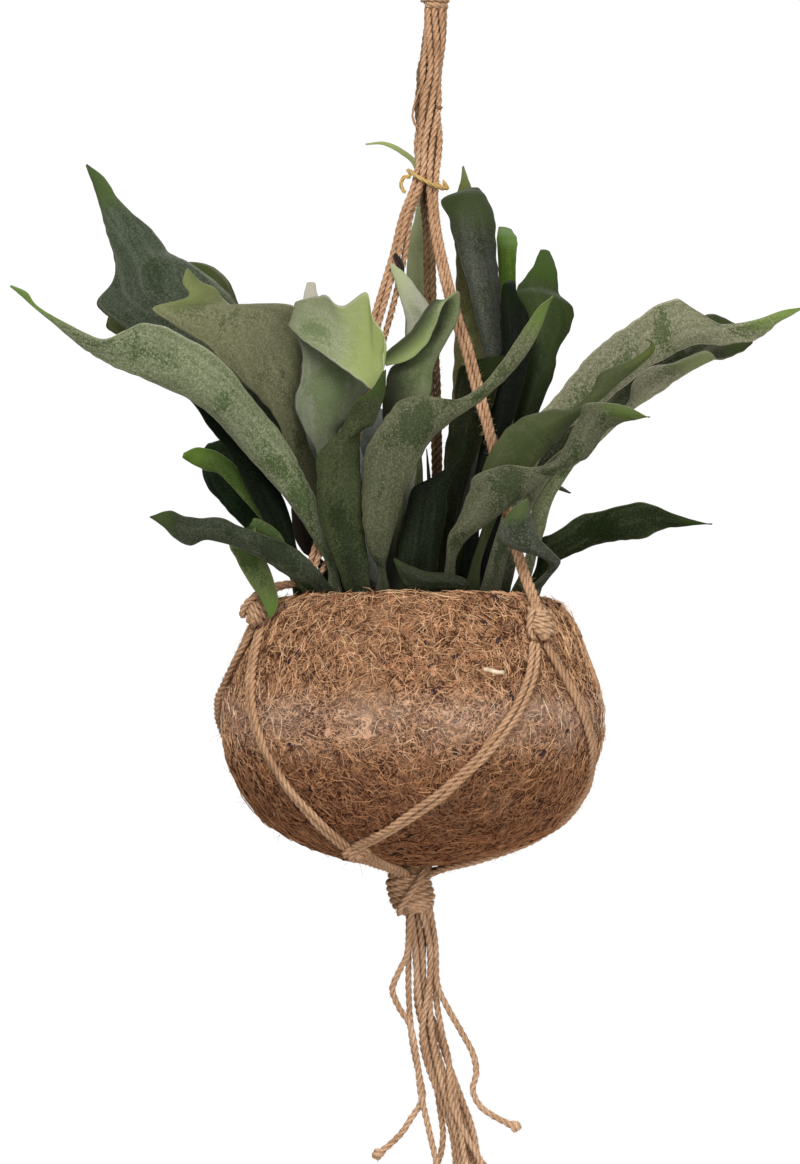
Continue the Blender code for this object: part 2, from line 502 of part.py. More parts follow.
def leg_route(side):
    """From under the top knot, past the tie, to the knot on the pot's shoulder."""
    together = {"left": (-4.1, -2.0), "right": (4.0, -2.6), "back": (0.0, 5.0)}[side]
    points = [Vector((together[0] - 0.5, together[1], TOP_KNOT_Z - 9.4)),
              Vector((together[0] - 3.5, together[1], TIE_Z + 40)),
              Vector((together[0] - 5.0, together[1], TIE_Z - 2))]
    centre, axis = upper_knot(side)
    return points + [Vector(bend) for bend in LEG_BENDS[side]] + [centre + axis * (KNOT_HEIGHT / 2 + 2.5)]


def net_route(start_azimuth, start_z, end_azimuth, end_z):
    """A stretch of the net lying on the pot from knot to crossing."""
    points = []
    steps = 9
    for k in range(steps + 1):
        t = k / steps
        azimuth = start_azimuth + (end_azimuth - start_azimuth) * t ** 1.35
        points.append(on_pot(azimuth, start_z + (end_z - start_z) * t, NET_CLEARANCE))
    return points


def make_pot():
    outside = [*POT_OUTER, (0.0, POT_FOOT_Z)]
    inside = [(0.0, POT_FOOT_Z + POT_WALL), *reversed(POT_INNER)]
    turned("coir_pot", outside + inside, "coir", 36, round_pot, wraps=True)


def make_mix():
    top = [(radius, crown_height(POT_AXIS_X + radius, 0)) for radius in (0.0, 25.0, 50.0, 73.0)]
    body = [(radius - 4 * GAP, z) for radius, z in POT_INNER if z < POT_INNER[0][1] - 5]
    body[-1] = (body[-1][0], body[-1][1] + 3 * GAP)
    floor = [(0.0, POT_FOOT_Z + POT_WALL + 5 * GAP)]
    turned("potting_mix", top + body + floor, "mix", 36, round_pot)


def knot(name, centre, radius, height, axis=Vector((0, 0, 1))):
    """A rounded barrel about its axis."""
    profile = [(0.0, height / 2)]
    for share in (0.92, 0.6, 0.0, -0.6, -0.92):
        profile.append((radius * (1 - 0.45 * share ** 4), height / 2 * share))
    profile.append((0.0, -height / 2))
    spin = axis.to_track_quat("Z", "Y")

    def place(reach, turn, z):
        return centre + spin @ Vector((reach * cos(radians(turn)), reach * sin(radians(turn)), z))

    turned(name, profile, "jute", 14, place)


def make_hanger():
    sweep = [(LOOP_TOP_RADIUS + LOOP_CORD / 2) * Vector((sin(radians(a)), 0, cos(radians(a))))
             for a in range(-100, 101, 25)]
    centre = Vector((0, 0, -LOOP_TOP_RADIUS))
    left_end = [Vector((-6.5, 0, -34)), Vector((-3.6, 0, TOP_KNOT_Z + 9.5))]
    route = [Vector((3.6, 0, TOP_KNOT_Z + 9.5)), Vector((6.5, 0, -34))]
    route += [centre + p for p in reversed(sweep)] + left_end
    tube("hanging_loop", route, LOOP_CORD, "jute", resolution=3, spacing=1.2)
    knot("top_knot", Vector((0, 0, TOP_KNOT_Z)), 10.0, 18.0)
    for side in UPPER_KNOTS:
        tube(f"leg_{side}", leg_route(side), LEG_DIAMETER, "jute")
        centre, axis = upper_knot(side)
        knot(f"upper_knot_{side}", centre, KNOT_RADIUS, KNOT_HEIGHT, axis)
    tie = [Vector((9.9 * sin(radians(a)) - 5.0, 0.4 - 10.1 * cos(radians(a)), TIE_Z + 2 - 4 * sin(radians(a))))
           for a in range(0, 361, 30)]
    tube("binding_tie", tie, 1.8, "ochre", spacing=2.5, closed=True)
    for name, (azimuth, low) in CROSSINGS.items():
        towards = {"front": ("left", "right"), "right": ("right", "back"), "back": ("back", "left")}[name]
        for side in towards:
            start, high = UPPER_KNOTS[side]
            if abs(start - azimuth) > 180:
                start += 360
            step = 4.0 if azimuth > start else -4.0
            top = high - KNOT_HEIGHT / 2 - 4
            if side == towards[0]:
                route = net_route(start + step, top, azimuth, low)
                route.append(on_pot(azimuth, (low - 553.5) / 2, NET_CLEARANCE))
                route.append(on_pot(azimuth, -553.5, NET_CLEARANCE))
                route.append(round_pot(16.5, azimuth, GATHER_TOP_Z - 2.5))
            else:
                route = net_route(start + step, top, azimuth - step, low)
                route[-1] = route[-1].lerp(route[-2], 0.25)
            tube(f"net_{name}_from_{side}", route, PAIR_DIAMETER, "jute")
    middle = (GATHER_TOP_Z + GATHER_FOOT_Z) / 2
    knot("gathering_knot", Vector((GATHER_X, 0, middle)), 13.0, GATHER_TOP_Z - GATHER_FOOT_Z)


def make_tassel():
    tube("tassel_bundle", TASSEL_BUNDLE, TASSEL_BUNDLE_DIAMETER, "jute", spacing=1.2)
    for name, route in TASSEL_STRAYS.items():
        tube(name, route, CORD_DIAMETER, "jute")


def make_fronds():
    for name, (colour, base, lean, rows) in FRONDS.items():
        drawn_frond(name, colour, base, lean, rows)
    for name, shape in BACK_FRONDS.items():
        back_frond(name, *shape)


def main():
    clear_scene()
    make_pot()
    make_mix()
    make_hanger()
    make_tassel()
    make_fronds()


main()
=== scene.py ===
"""The looks of a staghorn fern in a coir ball pot, hung in a jute macrame hanger.

An add-on in the sidebar's Fern tab: each button makes one group of pieces over the CAD parts, from the
sliders above it. Lengths are millimetres until MM turns them into metres, and the sliders' own lengths are
metres. Places are in the frame that the CAD parts share: the origin is the inside top of the hanging loop,
+Z is up and the plant's front faces -Y.
"""

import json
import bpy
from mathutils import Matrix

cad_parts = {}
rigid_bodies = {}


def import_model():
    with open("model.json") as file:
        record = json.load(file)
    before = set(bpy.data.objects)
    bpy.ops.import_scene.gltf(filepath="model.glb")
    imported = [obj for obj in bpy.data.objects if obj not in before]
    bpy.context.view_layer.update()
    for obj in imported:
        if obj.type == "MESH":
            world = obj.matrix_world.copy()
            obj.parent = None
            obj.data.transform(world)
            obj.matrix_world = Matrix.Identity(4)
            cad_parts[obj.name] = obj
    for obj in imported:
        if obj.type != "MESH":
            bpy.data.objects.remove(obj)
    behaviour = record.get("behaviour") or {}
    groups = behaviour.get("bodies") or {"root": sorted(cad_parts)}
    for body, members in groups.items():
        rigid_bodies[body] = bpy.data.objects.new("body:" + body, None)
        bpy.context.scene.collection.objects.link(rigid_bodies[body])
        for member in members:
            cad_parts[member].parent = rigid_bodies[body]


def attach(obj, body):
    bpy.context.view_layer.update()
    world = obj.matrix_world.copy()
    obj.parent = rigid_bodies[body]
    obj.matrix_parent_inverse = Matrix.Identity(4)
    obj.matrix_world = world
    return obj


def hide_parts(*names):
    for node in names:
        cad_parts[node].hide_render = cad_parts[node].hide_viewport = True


bl_info = {
    "name": "Staghorn Fern",
    "version": (1, 0, 0),
    "blender": (4, 5, 0),
    "location": "3D View > Sidebar > Fern",
    "description": "Makes the fern, its coir pot and its jute hanger in detail",
    "category": "Object",
}

from math import cos, exp, hypot, pi, radians, sin

import bpy
import numpy as np
from mathutils import Vector, noise

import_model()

MM = 0.001

# The pot and the hanger, as in the CAD
POT_AXIS_X = -13.0
POT_FOOT_Z = -557.0
POT_WALL = 9.0
STRAND = 3.9
TOP_KNOT_Z = -54.0
TIE_Z = -162.0
KNOT_RADIUS = 6.2
KNOT_HEIGHT = 22.0
UPPER_KNOTS = {"left": (-64.0, -413.0), "right": (45.0, -420.0), "back": (172.0, -414.0)}
CROSSINGS = {"front": (-29.0, -543.0), "right": (95.0, -538.0), "back": (206.0, -545.0)}
GATHER_X = -14.0
GATHER_TOP_Z = -559.5
GATHER_FOOT_Z = -586.0

# How the strands lie
LOOP_CORD = 6.0
PLY_SHARE = 0.515
NET_CLEARANCE = 2.3
PAIR_SPREAD = 1.95
UNDERSIDE_Z = -553.5

# The felt's heights: the pot's foot and its height in metres, and the bare band
FOOT_M = 0.560
PER_HEIGHT = 6.25
BAND_LOW, BAND_HIGH = -486.0, -461.0

# Where an elevation of the front is drawn from
VIEW_DISTANCE = 2200.0
VIEW_X = -20.0
VIEW_Z = -395.0

# Where each leg goes on its way from the tie to its knot: the left one is pushed aside and bends over the rim
LEG_BENDS = {
    "left": (
        (-15, -5, -184), (-21, -8, -207), (-31, -14, -240), (-45, -24, -290), (-57, -33, -345),
        (-68, -39.5, -384), (-77, -41.5, -394.5), (-86, -41, -396.5)),
    "right": (
        (-2.2, -4.6, -178), (1.7, -10.5, -203), (12, -20, -243), (18, -24, -261), (26.6, -31.5, -294),
        (31.8, -36.3, -314), (46, -52, -377)),
    "back": ((-3, 15, -191), (-2, 28, -233), (0.5, 45, -281), (2, 62, -329), (2, 76, -368)),
}

# Outer wall of the pot as radius and height, rim to foot
POT_OUTER = (
    (79.0, -402.5), (84.0, -403.5), (88.5, -408.0), (94.0, -418.0), (100.0, -433.0), (105.5, -448.0),
    (109.5, -463.0), (110.0, -475.0), (108.5, -489.0), (101.0, -511.0), (87.0, -530.0), (69.0, -543.0),
    (46.0, -552.0), (22.0, -556.5),
)
POT_INNER = (
    (75.0, -405.0), (77.0, -412.0), (89.0, -432.0), (99.0, -458.0), (101.0, -475.0), (98.0, -494.0),
    (86.0, -516.0), (66.0, -532.0), (44.0, -541.0), (20.0, -546.0),
)

# Fronds by name: colour, foot (x, y), lean and the rows (x left, z left, x right, z right, y, tilt, bulge)
FRONDS = {
    "frond_far_left_strap": ("olive", (-57, -44), -25, (
        (-62, -387, -57, -386, -46, 0, 0.5), (-74, -365, -64, -365, -50, 0, 2),
        (-87, -346, -69, -346, -53, 2, 4), (-106, -325, -76, -332, -56, 4, 6),
        (-126, -302, -87, -311, -60, 6, 7), (-143, -289, -105, -289, -64, 6, 6),
        (-165, -279, -124, -266, -68, 6, 5), (-184, -271, -150, -250, -72, 4, 4),
        (-194, -266, -167, -245, -74, 3, 3), (-200, -262, -178, -249, -75, 2, 2),
        (-206, -258, -193, -254, -77, 0, 1), (-220, -246, -215, -244, -82, 0, 0.5),
        (-231, -237, -230, -235, -86, 0, 0), (-240, -229, -236, -227, -88, 0, 0.5),
        (-246, -224, -245, -223, -89, 0, 0))),
    "frond_upper_left": ("grey", (-52, 6), 45, (
        (-70, -360, -60, -358, 8, 0, 1), (-105, -310, -78, -300, 14, 0, 3),
        (-140, -275, -100, -262, 20, 4, 5), (-177, -249, -112, -238, 24, 6, 6),
        (-195, -235, -126, -222, 26, 6, 5), (-186, -220, -143, -209, 28, 4, 4),
        (-186, -206, -154, -203, 30, 3, 3), (-189, -196, -162, -193, 31, 2, 2),
        (-194, -177, -182, -174, 33, 1, 1), (-198, -165, -191, -161, 34, 0, 0.5),
        (-202, -154, -201, -153, 35, 0, 0))),
    "frond_left_broad": ("taupe", (-48, -24), 8, (
        (-66, -372, -58, -371, -25, 0, 1), (-84, -335, -66, -335, -26, 2, 3),
        (-89, -307, -78, -295, -34, 3, 4), (-100, -290, -76, -275, -34, 4, 5),
        (-118, -273, -77, -250, -33, 6, 6), (-134, -257, -82, -235, -32, 6, 6),
        (-150, -247, -107, -234, -32, 5, 5), (-164, -237, -118, -234, -31, 4, 4),
        (-143, -230, -127, -225, -31, 2, 2), (-146, -222, -136, -220, -31, 1, 1),
        (-144, -214, -143, -213, -31, 0, 0))),
    "frond_folded_fan": ("lime", (-42, -45), -10, (
        (-52, -375, -44, -375, -48, 0, 1), (-62, -345, -48, -345, -50, 0, 2),
        (-69, -318, -56, -312, -50, 2, 3), (-76, -306, -49, -300, -50, 3, 4),
        (-81, -292, -44, -291, -48, 4, 5), (-78, -279, -37, -279, -45, 4, 5),
        (-77, -264, -40, -257, -42, 3, 5), (-81, -251, -58, -238, -42, 0, 3),
        (-85, -247, -80, -233, -48, 0, 1), (-80, -252, -77, -231, -56, 2, 1.5),
        (-72, -258, -70, -230, -61, 2, 2), (-60, -266, -63, -229, -65, 2, 3),
        (-49, -274, -54, -235, -68, 2, 3), (-41, -280, -40, -227, -70, 2, 3),
        (-35, -284, -36, -241, -71, 1, 2), (-31, -275, -29, -251, -71, 0, 1),
        (-30, -263, -28, -257, -71, 0, 0))),
    "frond_front_upright": ("olive", (-42, -60), -12, (
        (-57, -386, -38, -387, -61, 0, 2), (-66, -362, -41, -362, -64, 0, 4),
        (-68, -346, -42, -346, -67, 0, 5), (-68, -324, -43, -324, -69, 0, 5),
        (-63, -315, -43, -311, -70, 0, 4), (-55, -308, -40, -306, -71, 0, 3),
        (-50, -297, -35, -303, -71, -2, 2), (-46, -290, -29, -287, -74, -3, 2),
        (-37, -284, -28, -277, -76, -2, 1), (-30, -273, -28, -272, -77, 0, 0))),
    "frond_curled_pale": ("pale", (-22, -46), 0, (
        (-26, -365, -18, -365, -46, 0, 1), (-27, -320, -14, -320, -44, 0, 2),
        (-30, -300, -6, -300, -42, 0, 3), (-29, -283, -2, -284, -41, 0, 4),
        (-26, -272, 0, -272, -40, 0, 4), (-18, -266, 2, -264, -38, 0, 3),
        (-8, -258, 8, -254, -36, 0, 3), (0, -248, 13, -244, -36, 0, 2),
        (2, -240, 15, -233, -38, 0, 1.5), (4, -234, 13, -227, -42, 0, 1),
        (-1, -232, 5, -235, -47, 0, 1), (-9, -243, 0, -248, -50, 0, 1.5),
        (-16, -252, -6, -259, -51, 0, 2), (-27, -261, -16, -267, -50, 0, 1.5),
        (-30, -265, -28, -270, -48, 0, 0))),
    "frond_pale_tip": ("pale", (-20, -32), 0, (
        (-22, -360, -14, -360, -30, 0, 1), (-20, -300, -6, -300, -26, 0, 2),
        (-17, -270, -2, -262, -22, 0, 2), (-16, -251, -2, -238, -19, 0, 2),
        (-18, -238, -8, -228, -18, 0, 1.5), (-21, -227, -15, -218, -17, 0, 1),
        (-25, -215, -21, -213, -17, 0, 0.5), (-26, -211, -25, -210, -17, 0, 0))),
    "frond_front_sweep": ("olive", (-29, -63), -35, (
        (-33, -388, -28, -388, -64, 0, 1), (-38, -377, -27, -379, -66, 0, 2),
        (-42, -358, -21, -358, -69, 0, 4), (-42, -338, -17, -343, -73, 0, 5),
        (-40, -318, -10, -328, -76, 0, 6), (-30, -302, -3, -315, -77, 2, 6),
        (-20, -290, 9, -303, -76, 2, 5), (-6, -287, 22, -294, -74, 2, 4),
        (12, -289, 32, -286, -71, 2, 3), (27, -281, 40, -279, -68, 1, 2),
        (39, -267, 49, -269, -66, 0, 1.5), (46, -257, 56, -259, -65, 0, 1),
        (53, -246, 62, -247, -65, 0, 0.7), (60, -236, 66, -236, -65, 0, 0.4),
        (68, -230, 69, -229, -65, 0, 0))),
    "frond_tall_dark": ("grey", (6, -4), 30, (
        (6, -350, 16, -350, -2, 0, 1), (14, -300, 32, -300, 3, 2, 3),
        (28, -270, 40, -268, 8, 0, 2), (24, -245, 39, -240, 11, 2, 3),
        (18, -222, 38, -222, 14, 3, 4), (13, -203, 36, -203, 17, 3, 4),
        (8, -185, 35, -186, 19, 3, 4), (4, -174, 31, -174, 20, 2, 3),
        (14, -169, 26, -167, 20, 0, 1))),
    "frond_green_strap": ("bright", (14, 14), 50, (
        (20, -350, 28, -350, 20, 0, 1), (30, -290, 42, -290, 28, 0, 2),
        (36, -250, 47, -250, 32, 0, 2), (37, -212, 47, -212, 34, 0, 2),
        (36, -197, 48, -198, 35, 0, 1), (37, -190, 45, -191, 35, 0, 0.5))),
    "frond_back_tip": ("bright", (2, 22), 60, (
        (6, -350, 14, -350, 30, 0, 1), (10, -290, 30, -290, 40, 0, 3),
        (12, -240, 34, -240, 46, 0, 3), (12, -200, 32, -200, 50, 0, 2),
        (11, -178, 25, -178, 52, 0, 1), (15, -163, 20, -163, 53, 0, 0.5),
        (16, -155, 17, -154, 54, 0, 0))),
    "frond_right_green": ("bright", (26, 6), 45, (
        (36, -350, 44, -350, 6, 0, 1), (46, -300, 60, -298, 6, 0, 2),
        (50, -280, 69, -275, 6, 0, 3), (53, -262, 72, -260, 6, 0, 3),
        (54, -246, 79, -247, 7, 0, 4), (47, -230, 80, -237, 8, 0, 4),
        (48, -224, 72, -229, 9, 0, 3), (57, -212, 71, -215, 10, 0, 2),
        (61, -203, 67, -204, 10, 0, 1))),
    "frond_dark_behind": ("dark", (18, -14), 18, (
        (20, -350, 28, -350, -13, 0, 1), (30, -300, 46, -300, -10, 0, 2),
        (38, -262, 56, -262, -7, 0, 3), (38, -240, 55, -242, -5, 0, 3),
        (39, -225, 48, -228, -3, 0, 2), (42, -221, 47, -222, -3, 0, 1))),
    "frond_upper_right_long": ("olive", (30, -18), 25, (
        (42, -346, 50, -350, -18, 0, 1), (55, -306, 68, -314, -16, 0, 3),
        (68, -290, 88, -300, -14, 2, 4), (88, -265, 108, -284, -12, 4, 5),
        (102, -253, 122, -272, -10, 6, 6), (117, -243, 139, -263, -8, 6, 6),
        (131, -234, 151, -258, -7, 6, 5), (142, -231, 165, -258, -6, 6, 4),
        (148, -239, 175, -257, -5, 4, 3), (155, -245, 184, -256, -4, 3, 3),
        (170, -246, 192, -251, -4, 2, 2), (186, -243, 199, -245, -4, 1, 1),
        (201, -238, 208, -240, -5, 0, 0.5), (212, -236, 213, -237, -6, 0, 0.3),
        (221, -234, 222, -233, -7, 0, 0))),
    "frond_right_lobe": ("taupe", (36, -2), 26, (
        (50, -345, 58, -350, 0, 0, 1), (78, -314, 88, -322, 5, 0, 2),
        (100, -298, 106, -304, 9, 0, 1.5), (112, -291, 117, -294, 11, 0, 1),
        (115, -279, 130, -286, 13, 0, 3), (124, -271, 138, -280, 14, 0, 3),
        (136, -269, 148, -273, 15, 0, 3), (150, -263, 158, -268, 16, 0, 2),
        (156, -261, 163, -266, 16, 0, 1))),
    "frond_right_dark": ("dark", (22, 20), 50, (
        (36, -345, 46, -348, 22, 0, 1), (80, -300, 92, -312, 28, 0, 3),
        (118, -262, 128, -280, 32, 0, 4), (140, -252, 152, -268, 34, 0, 4),
        (158, -240, 166, -266, 34, 0, 3), (172, -244, 178, -262, 34, 0, 2),
        (180, -250, 184, -257, 34, 0, 1))),
    "frond_green_s_tip": ("lime", (20, -46), -15, (
        (21, -385, 27, -384, -53, 0, 1), (28, -362, 36, -358, -60, 0, 1.5),
        (27, -340, 44, -336, -62, 0, 3), (28, -328, 52, -334, -62, 0, 4),
        (39, -309, 63, -322, -61, 2, 5), (53, -299, 72, -312, -59, 2, 5),
        (69, -295, 79, -304, -57, 1, 3), (80, -294, 87, -297, -55, 0, 2),
        (91, -284, 97, -289, -53, 0, 2), (96, -274, 109, -278, -51, 0, 2.5),
        (114, -266, 120, -269, -50, 0, 1.5), (124, -259, 127, -262, -50, 0, 1),
        (125, -255, 127, -257, -50, 0, 0.5), (122, -255, 123, -254, -51, 0, 0))),
    "frond_front_right_twist": ("olive", (8, -61), -35, (
        (6, -386, 12, -386, -64, 0, 1), (8, -368, 17, -373, -68, 0, 2),
        (13, -360, 30, -362, -73, 0, 4), (19, -344, 47, -349, -77, 2, 5),
        (22, -334, 55, -343, -78, 2, 5), (34, -329, 61, -338, -77, 2, 4),
        (44, -327, 69, -333, -75, 1, 3), (56, -329, 74, -331, -74, 0, 2),
        (69, -325, 83, -326, -73, 0, 2), (75, -316, 90, -322, -72, 0, 3),
        (84, -299, 98, -309, -71, 0, 4), (87, -292, 105, -305, -70, 0, 3),
        (100, -291, 112, -302, -70, 0, 2), (113, -294, 117, -301, -70, 0, 1),
        (124, -300, 125, -299, -70, 0, 0))),
    "frond_strap_right": ("olive", (46, -20), -5, (
        (50, -388, 57, -388, -23, 0, 1), (56, -366, 64, -364, -27, 0, 2),
        (56, -354, 67, -352, -31, 0, 2), (60, -345, 71, -343, -34, 0, 2),
        (67, -334, 77, -334, -36, 0, 1.5), (76, -322, 84, -322, -38, 0, 1),
        (83, -309, 87, -309, -39, 0, 0.5), (87, -301, 88, -300, -40, 0, 0))),
    "frond_small_folded": ("grey", (47, -28), -10, (
        (60, -393, 68, -391, -38, 0, 1), (66, -386, 73, -383, -48, 0, 1.5),
        (62, -381, 69, -378, -61, 0, 2), (49, -377, 62, -371, -70, 0, 3),
        (38, -372, 58, -364, -73, 0, 3), (38, -363, 56, -356, -74, 0, 3),
        (45, -353, 55, -350, -74, 0, 1.5), (53, -347, 54, -346, -74, 0, 0))),
    "frond_right_low_strap": ("dark", (53, -8), -30, (
        (58, -388, 64, -393, -10, 0, 1), (61, -371, 71, -384, -15, 0, 3),
        (70, -366, 82, -378, -20, 0, 3), (84, -357, 96, -373, -24, 0, 3),
        (100, -353, 110, -371, -28, 0, 3), (118, -349, 123, -369, -30, 0, 2.5),
        (129, -351, 134, -364, -31, 0, 2), (140, -356, 144, -363, -32, 0, 1),
        (160, -362, 161, -361, -33, 0, 0))),
    "frond_left_low_strap": ("grey", (-57, -52), -25, (
        (-71, -398, -62, -395, -58, 0, 1), (-81, -394, -68, -387, -61, 0, 2),
        (-92, -387, -81, -375, -64, 0, 3), (-104, -380, -98, -368, -67, 0, 3),
        (-117, -374, -112, -363, -69, 0, 3), (-125, -372, -123, -358, -70, 0, 2.5),
        (-134, -371, -135, -358, -71, 0, 2), (-142, -374, -144, -357, -72, 0, 2),
        (-150, -370, -151, -354, -73, 0, 1.5), (-156, -364, -156, -354, -74, 0, 1),
        (-164, -358, -165, -357, -75, 0, 0))),
    "frond_left_bright": ("bright", (-75, -10), -10, (
        (-84, -392, -80, -390, -13, 0, 0.5), (-94, -370, -91, -367, -18, 0, 1),
        (-103, -356, -100, -352, -22, 0, 1), (-113, -345, -107, -340, -25, 0, 1.5),
        (-124, -333, -114, -329, -28, 0, 2), (-134, -330, -125, -320, -30, 0, 2),
        (-143, -325, -137, -317, -32, 0, 1), (-146, -323, -145, -320, -33, 0, 0))),
    "frond_left_very_dark": ("dark", (-70, 6), 30, (
        (-84, -388, -76, -386, 6, 0, 1), (-112, -362, -95, -352, 8, 0, 3),
        (-127, -345, -108, -335, 10, 0, 4), (-134, -335, -112, -322, 12, 0, 4),
        (-134, -322, -116, -313, 13, 0, 3), (-132, -316, -124, -316, 14, 0, 1))),
    "frond_over_rim": ("bright", (-64, -47), 0, (
        (-86, -388, -80, -385, -50, 0, 1), (-98, -372, -90, -366, -53, 0, 2),
        (-112, -366, -104, -358, -55, 0, 2), (-119, -372, -103, -368, -57, 0, 2),
        (-115, -382, -99, -380, -60, 0, 3), (-109, -393, -94, -391, -61, 0, 3),
        (-102, -403, -91, -402, -59, 0, 2), (-98, -410, -91, -410, -60, 0, 1),
        (-96, -416, -95, -416, -60, 0, 0))),
    "frond_dark_strap_left": ("dark", (-68, -28), 0, (
        (-82, -390, -74, -388, -31, 0, 1), (-93, -369, -80, -374, -33, 0, 2),
        (-103, -352, -84, -355, -36, 0, 3), (-114, -330, -96, -330, -40, 0, 3),
        (-122, -316, -106, -312, -42, 0, 3), (-131, -305, -120, -298, -43, 0, 2),
        (-139, -293, -132, -288, -44, 0, 1), (-146, -286, -145, -285, -44, 0, 0))),
    "frond_rim_leaf": ("grey", (8, -65), 0, (
        (14, -401, 20, -395, -69, 0, 1), (4, -400, 8, -390, -71, 0, 2),
        (-8, -400, -3, -389, -73, 0, 2), (-17, -398, -13, -386, -73, 0, 1.5),
        (-24, -382, -23, -381, -73, 0, 0))),
    "frond_centre_dark": ("dark", (-8, -52), -5, (
        (-20, -388, 0, -388, -53, 0, 2), (-21, -376, 4, -374, -54, 0, 4),
        (-17, -355, 7, -356, -55, 0, 4), (-13, -341, 8, -342, -56, 0, 3),
        (-1, -334, 11, -334, -56, 0, 2), (10, -326, 15, -325, -56, 0, 1),
        (18, -313, 19, -312, -56, 0, 0))),
    "frond_centre_upper": ("dark", (6, -38), 0, (
        (4, -360, 12, -360, -27, 0, 1), (6, -320, 24, -320, -19, 0, 3),
        (11, -292, 34, -292, -14, 0, 3), (13, -275, 39, -277, -11, 0, 3),
        (18, -268, 42, -268, -10, 0, 2), (30, -265, 40, -264, -10, 0, 1))),
    "frond_behind_ropes": ("pale", (-14, 14), 0, (
        (-14, -350, -6, -350, 18, 0, 1), (-16, -300, -9, -300, 26, 0, 1.5),
        (-17, -262, -9, -262, 42, 0, 1.5), (-17, -240, -4, -238, 48, 0, 2),
        (-16, -212, -2, -205, 42, 0, 2), (-15, -197, -3, -192, 37, 0, 2),
        (-12, -186, -4, -184, 34, 0, 1), (-10, -172, -6, -171, 32, 0, 0.5),
        (-12, -155, -9, -153, 31, 0, 0.4), (-20, -147, -19, -144, 31, 0, 0.3),
        (-30, -142, -29, -140, 31, 0, 0.2), (-40, -142, -40, -141, 31, 0, 0))),
    "frond_left_back_lobed": ("bright", (-44, 22), 50, (
        (-62, -360, -54, -360, 26, 0, 1), (-98, -305, -82, -298, 36, 0, 3),
        (-130, -275, -100, -262, 44, 0, 4), (-156, -264, -110, -248, 47, 0, 5),
        (-180, -254, -114, -233, 49, 0, 5), (-190, -247, -120, -219, 50, 0, 4),
        (-187, -238, -131, -212, 51, 0, 3), (-170, -226, -145, -211, 52, 0, 1))),
    "frond_beige_tip": ("beige", (-38, 2), 20, (
        (-44, -350, -36, -350, 4, 0, 1), (-64, -290, -50, -290, 6, 0, 2),
        (-74, -250, -62, -250, 8, 0, 2), (-76, -232, -67, -232, 8, 0, 1),
        (-74, -222, -69, -222, 8, 0, 0.5))),
    "old_shield_frond": ("brown", (-60, -14), 0, (
        (-68, -385, -63, -385, -14, 0, 0.5), (-77, -377, -66, -380, -14, 0, 2),
        (-82, -365, -66, -368, -14, 0, 3), (-83, -350, -70, -352, -14, 0, 2),
        (-80, -342, -74, -342, -14, 0, 1))),
}

# Fronds on the back of the crown: azimuth from the front, reach, rise and half width
BACK_FRONDS = {
    "frond_back_left": (-140.0, 92.0, 95.0, 15.0),
    "frond_back_mid": (-168.0, 145.0, 115.0, 17.0),
    "frond_back_right": (151.0, 135.0, 105.0, 18.0),
    "frond_back_side": (124.0, 68.0, 61.0, 14.0),
}
BACK_FOOT_RADIUS = 46.0

# Jute strands that hang in the tassel, each as its own route from inside the gathering knot
TASSEL = {
    "tassel_bowed_strand": (
        (-13, -5, -579), (-14.5, -7, -596), (-16, -10, -610), (-20, -14, -618), (-24, -15, -627),
        (-24, -14, -632), (-20, -13, -641), (-14, -12, -651), (-10, -11, -672), (-8, -10, -690),
        (-4, -10, -708), (1, -9, -730), (3, -9, -742)),
    "tassel_left_strand": (
        (-15, 1, -579), (-15, 2, -605), (-15, 0, -632), (-13, -3, -660), (-8, -3, -684),
        (-7, -3, -694), (-13, -5, -704), (-20, -7, -714), (-30, -8, -723), (-36, -8, -727)),
    "tassel_right_strand": (
        (-3.5, 1, -579), (0.5, 0, -605), (1.5, -3, -627), (7, -5, -640), (15, -6, -654), (22, -7, -667),
        (24, -8, -678), (22, -8, -688), (26, -8, -697), (34, -9, -703), (44, -9, -708), (50, -9, -710)),
    "tassel_curled_strand": (
        (-11, 8, -579), (-9, 9, -615), (-5, 10, -648), (0, 12, -680), (3, 10, -700),
        (5, 8, -716), (3, 6, -729), (-3, 4, -739), (-9, 3, -744)),
}
TASSEL_BUNDLE = (
    (-9.5, 1, -579), (-7.5, 1, -606), (-6, 1, -638), (-0.5, 3, -666), (7.5, 3, -692), (16, 3, -715),
    (22, 3, -746))
# Strands of the bundle: how far each lies from the bundle's middle (x, y), at the knot and at the end
BUNDLE_STRANDS = (
    (-3.5, -5.0, -6.5, -4.0), (1.5, -5.5, 0.5, -5.0), (6.0, -4.0, 8.0, -3.5), (-6.5, -0.5, -3.5, 0.5),
    (-1.5, -1.0, 4.0, -0.5), (4.0, 0.0, 12.0, 1.0), (-3.5, 4.5, 0.5, 4.5), (2.5, 4.5, 7.5, 4.5))


# ---------------------------------------------------------------- places and routes


def drawn(x, y, z):
    """The true place of a front-elevation point at depth y."""
    spread = (VIEW_DISTANCE + y) / VIEW_DISTANCE
    return np.array((VIEW_X + (x - VIEW_X) * spread, y, VIEW_Z + (z - VIEW_Z) * spread))


def round_pot(radius, azimuth, z):
    """A point at this distance from the pot's axis; azimuth 0 is the front, 90 the right."""
    angle = radians(azimuth)
    return np.array((POT_AXIS_X + radius * sin(angle), -radius * cos(angle), z))


def crown_height(x, y):
    """Top of the potting mix, a low dome."""
    return -403.0 - 5.0 * (hypot(x - POT_AXIS_X, y) / 75.0) ** 2


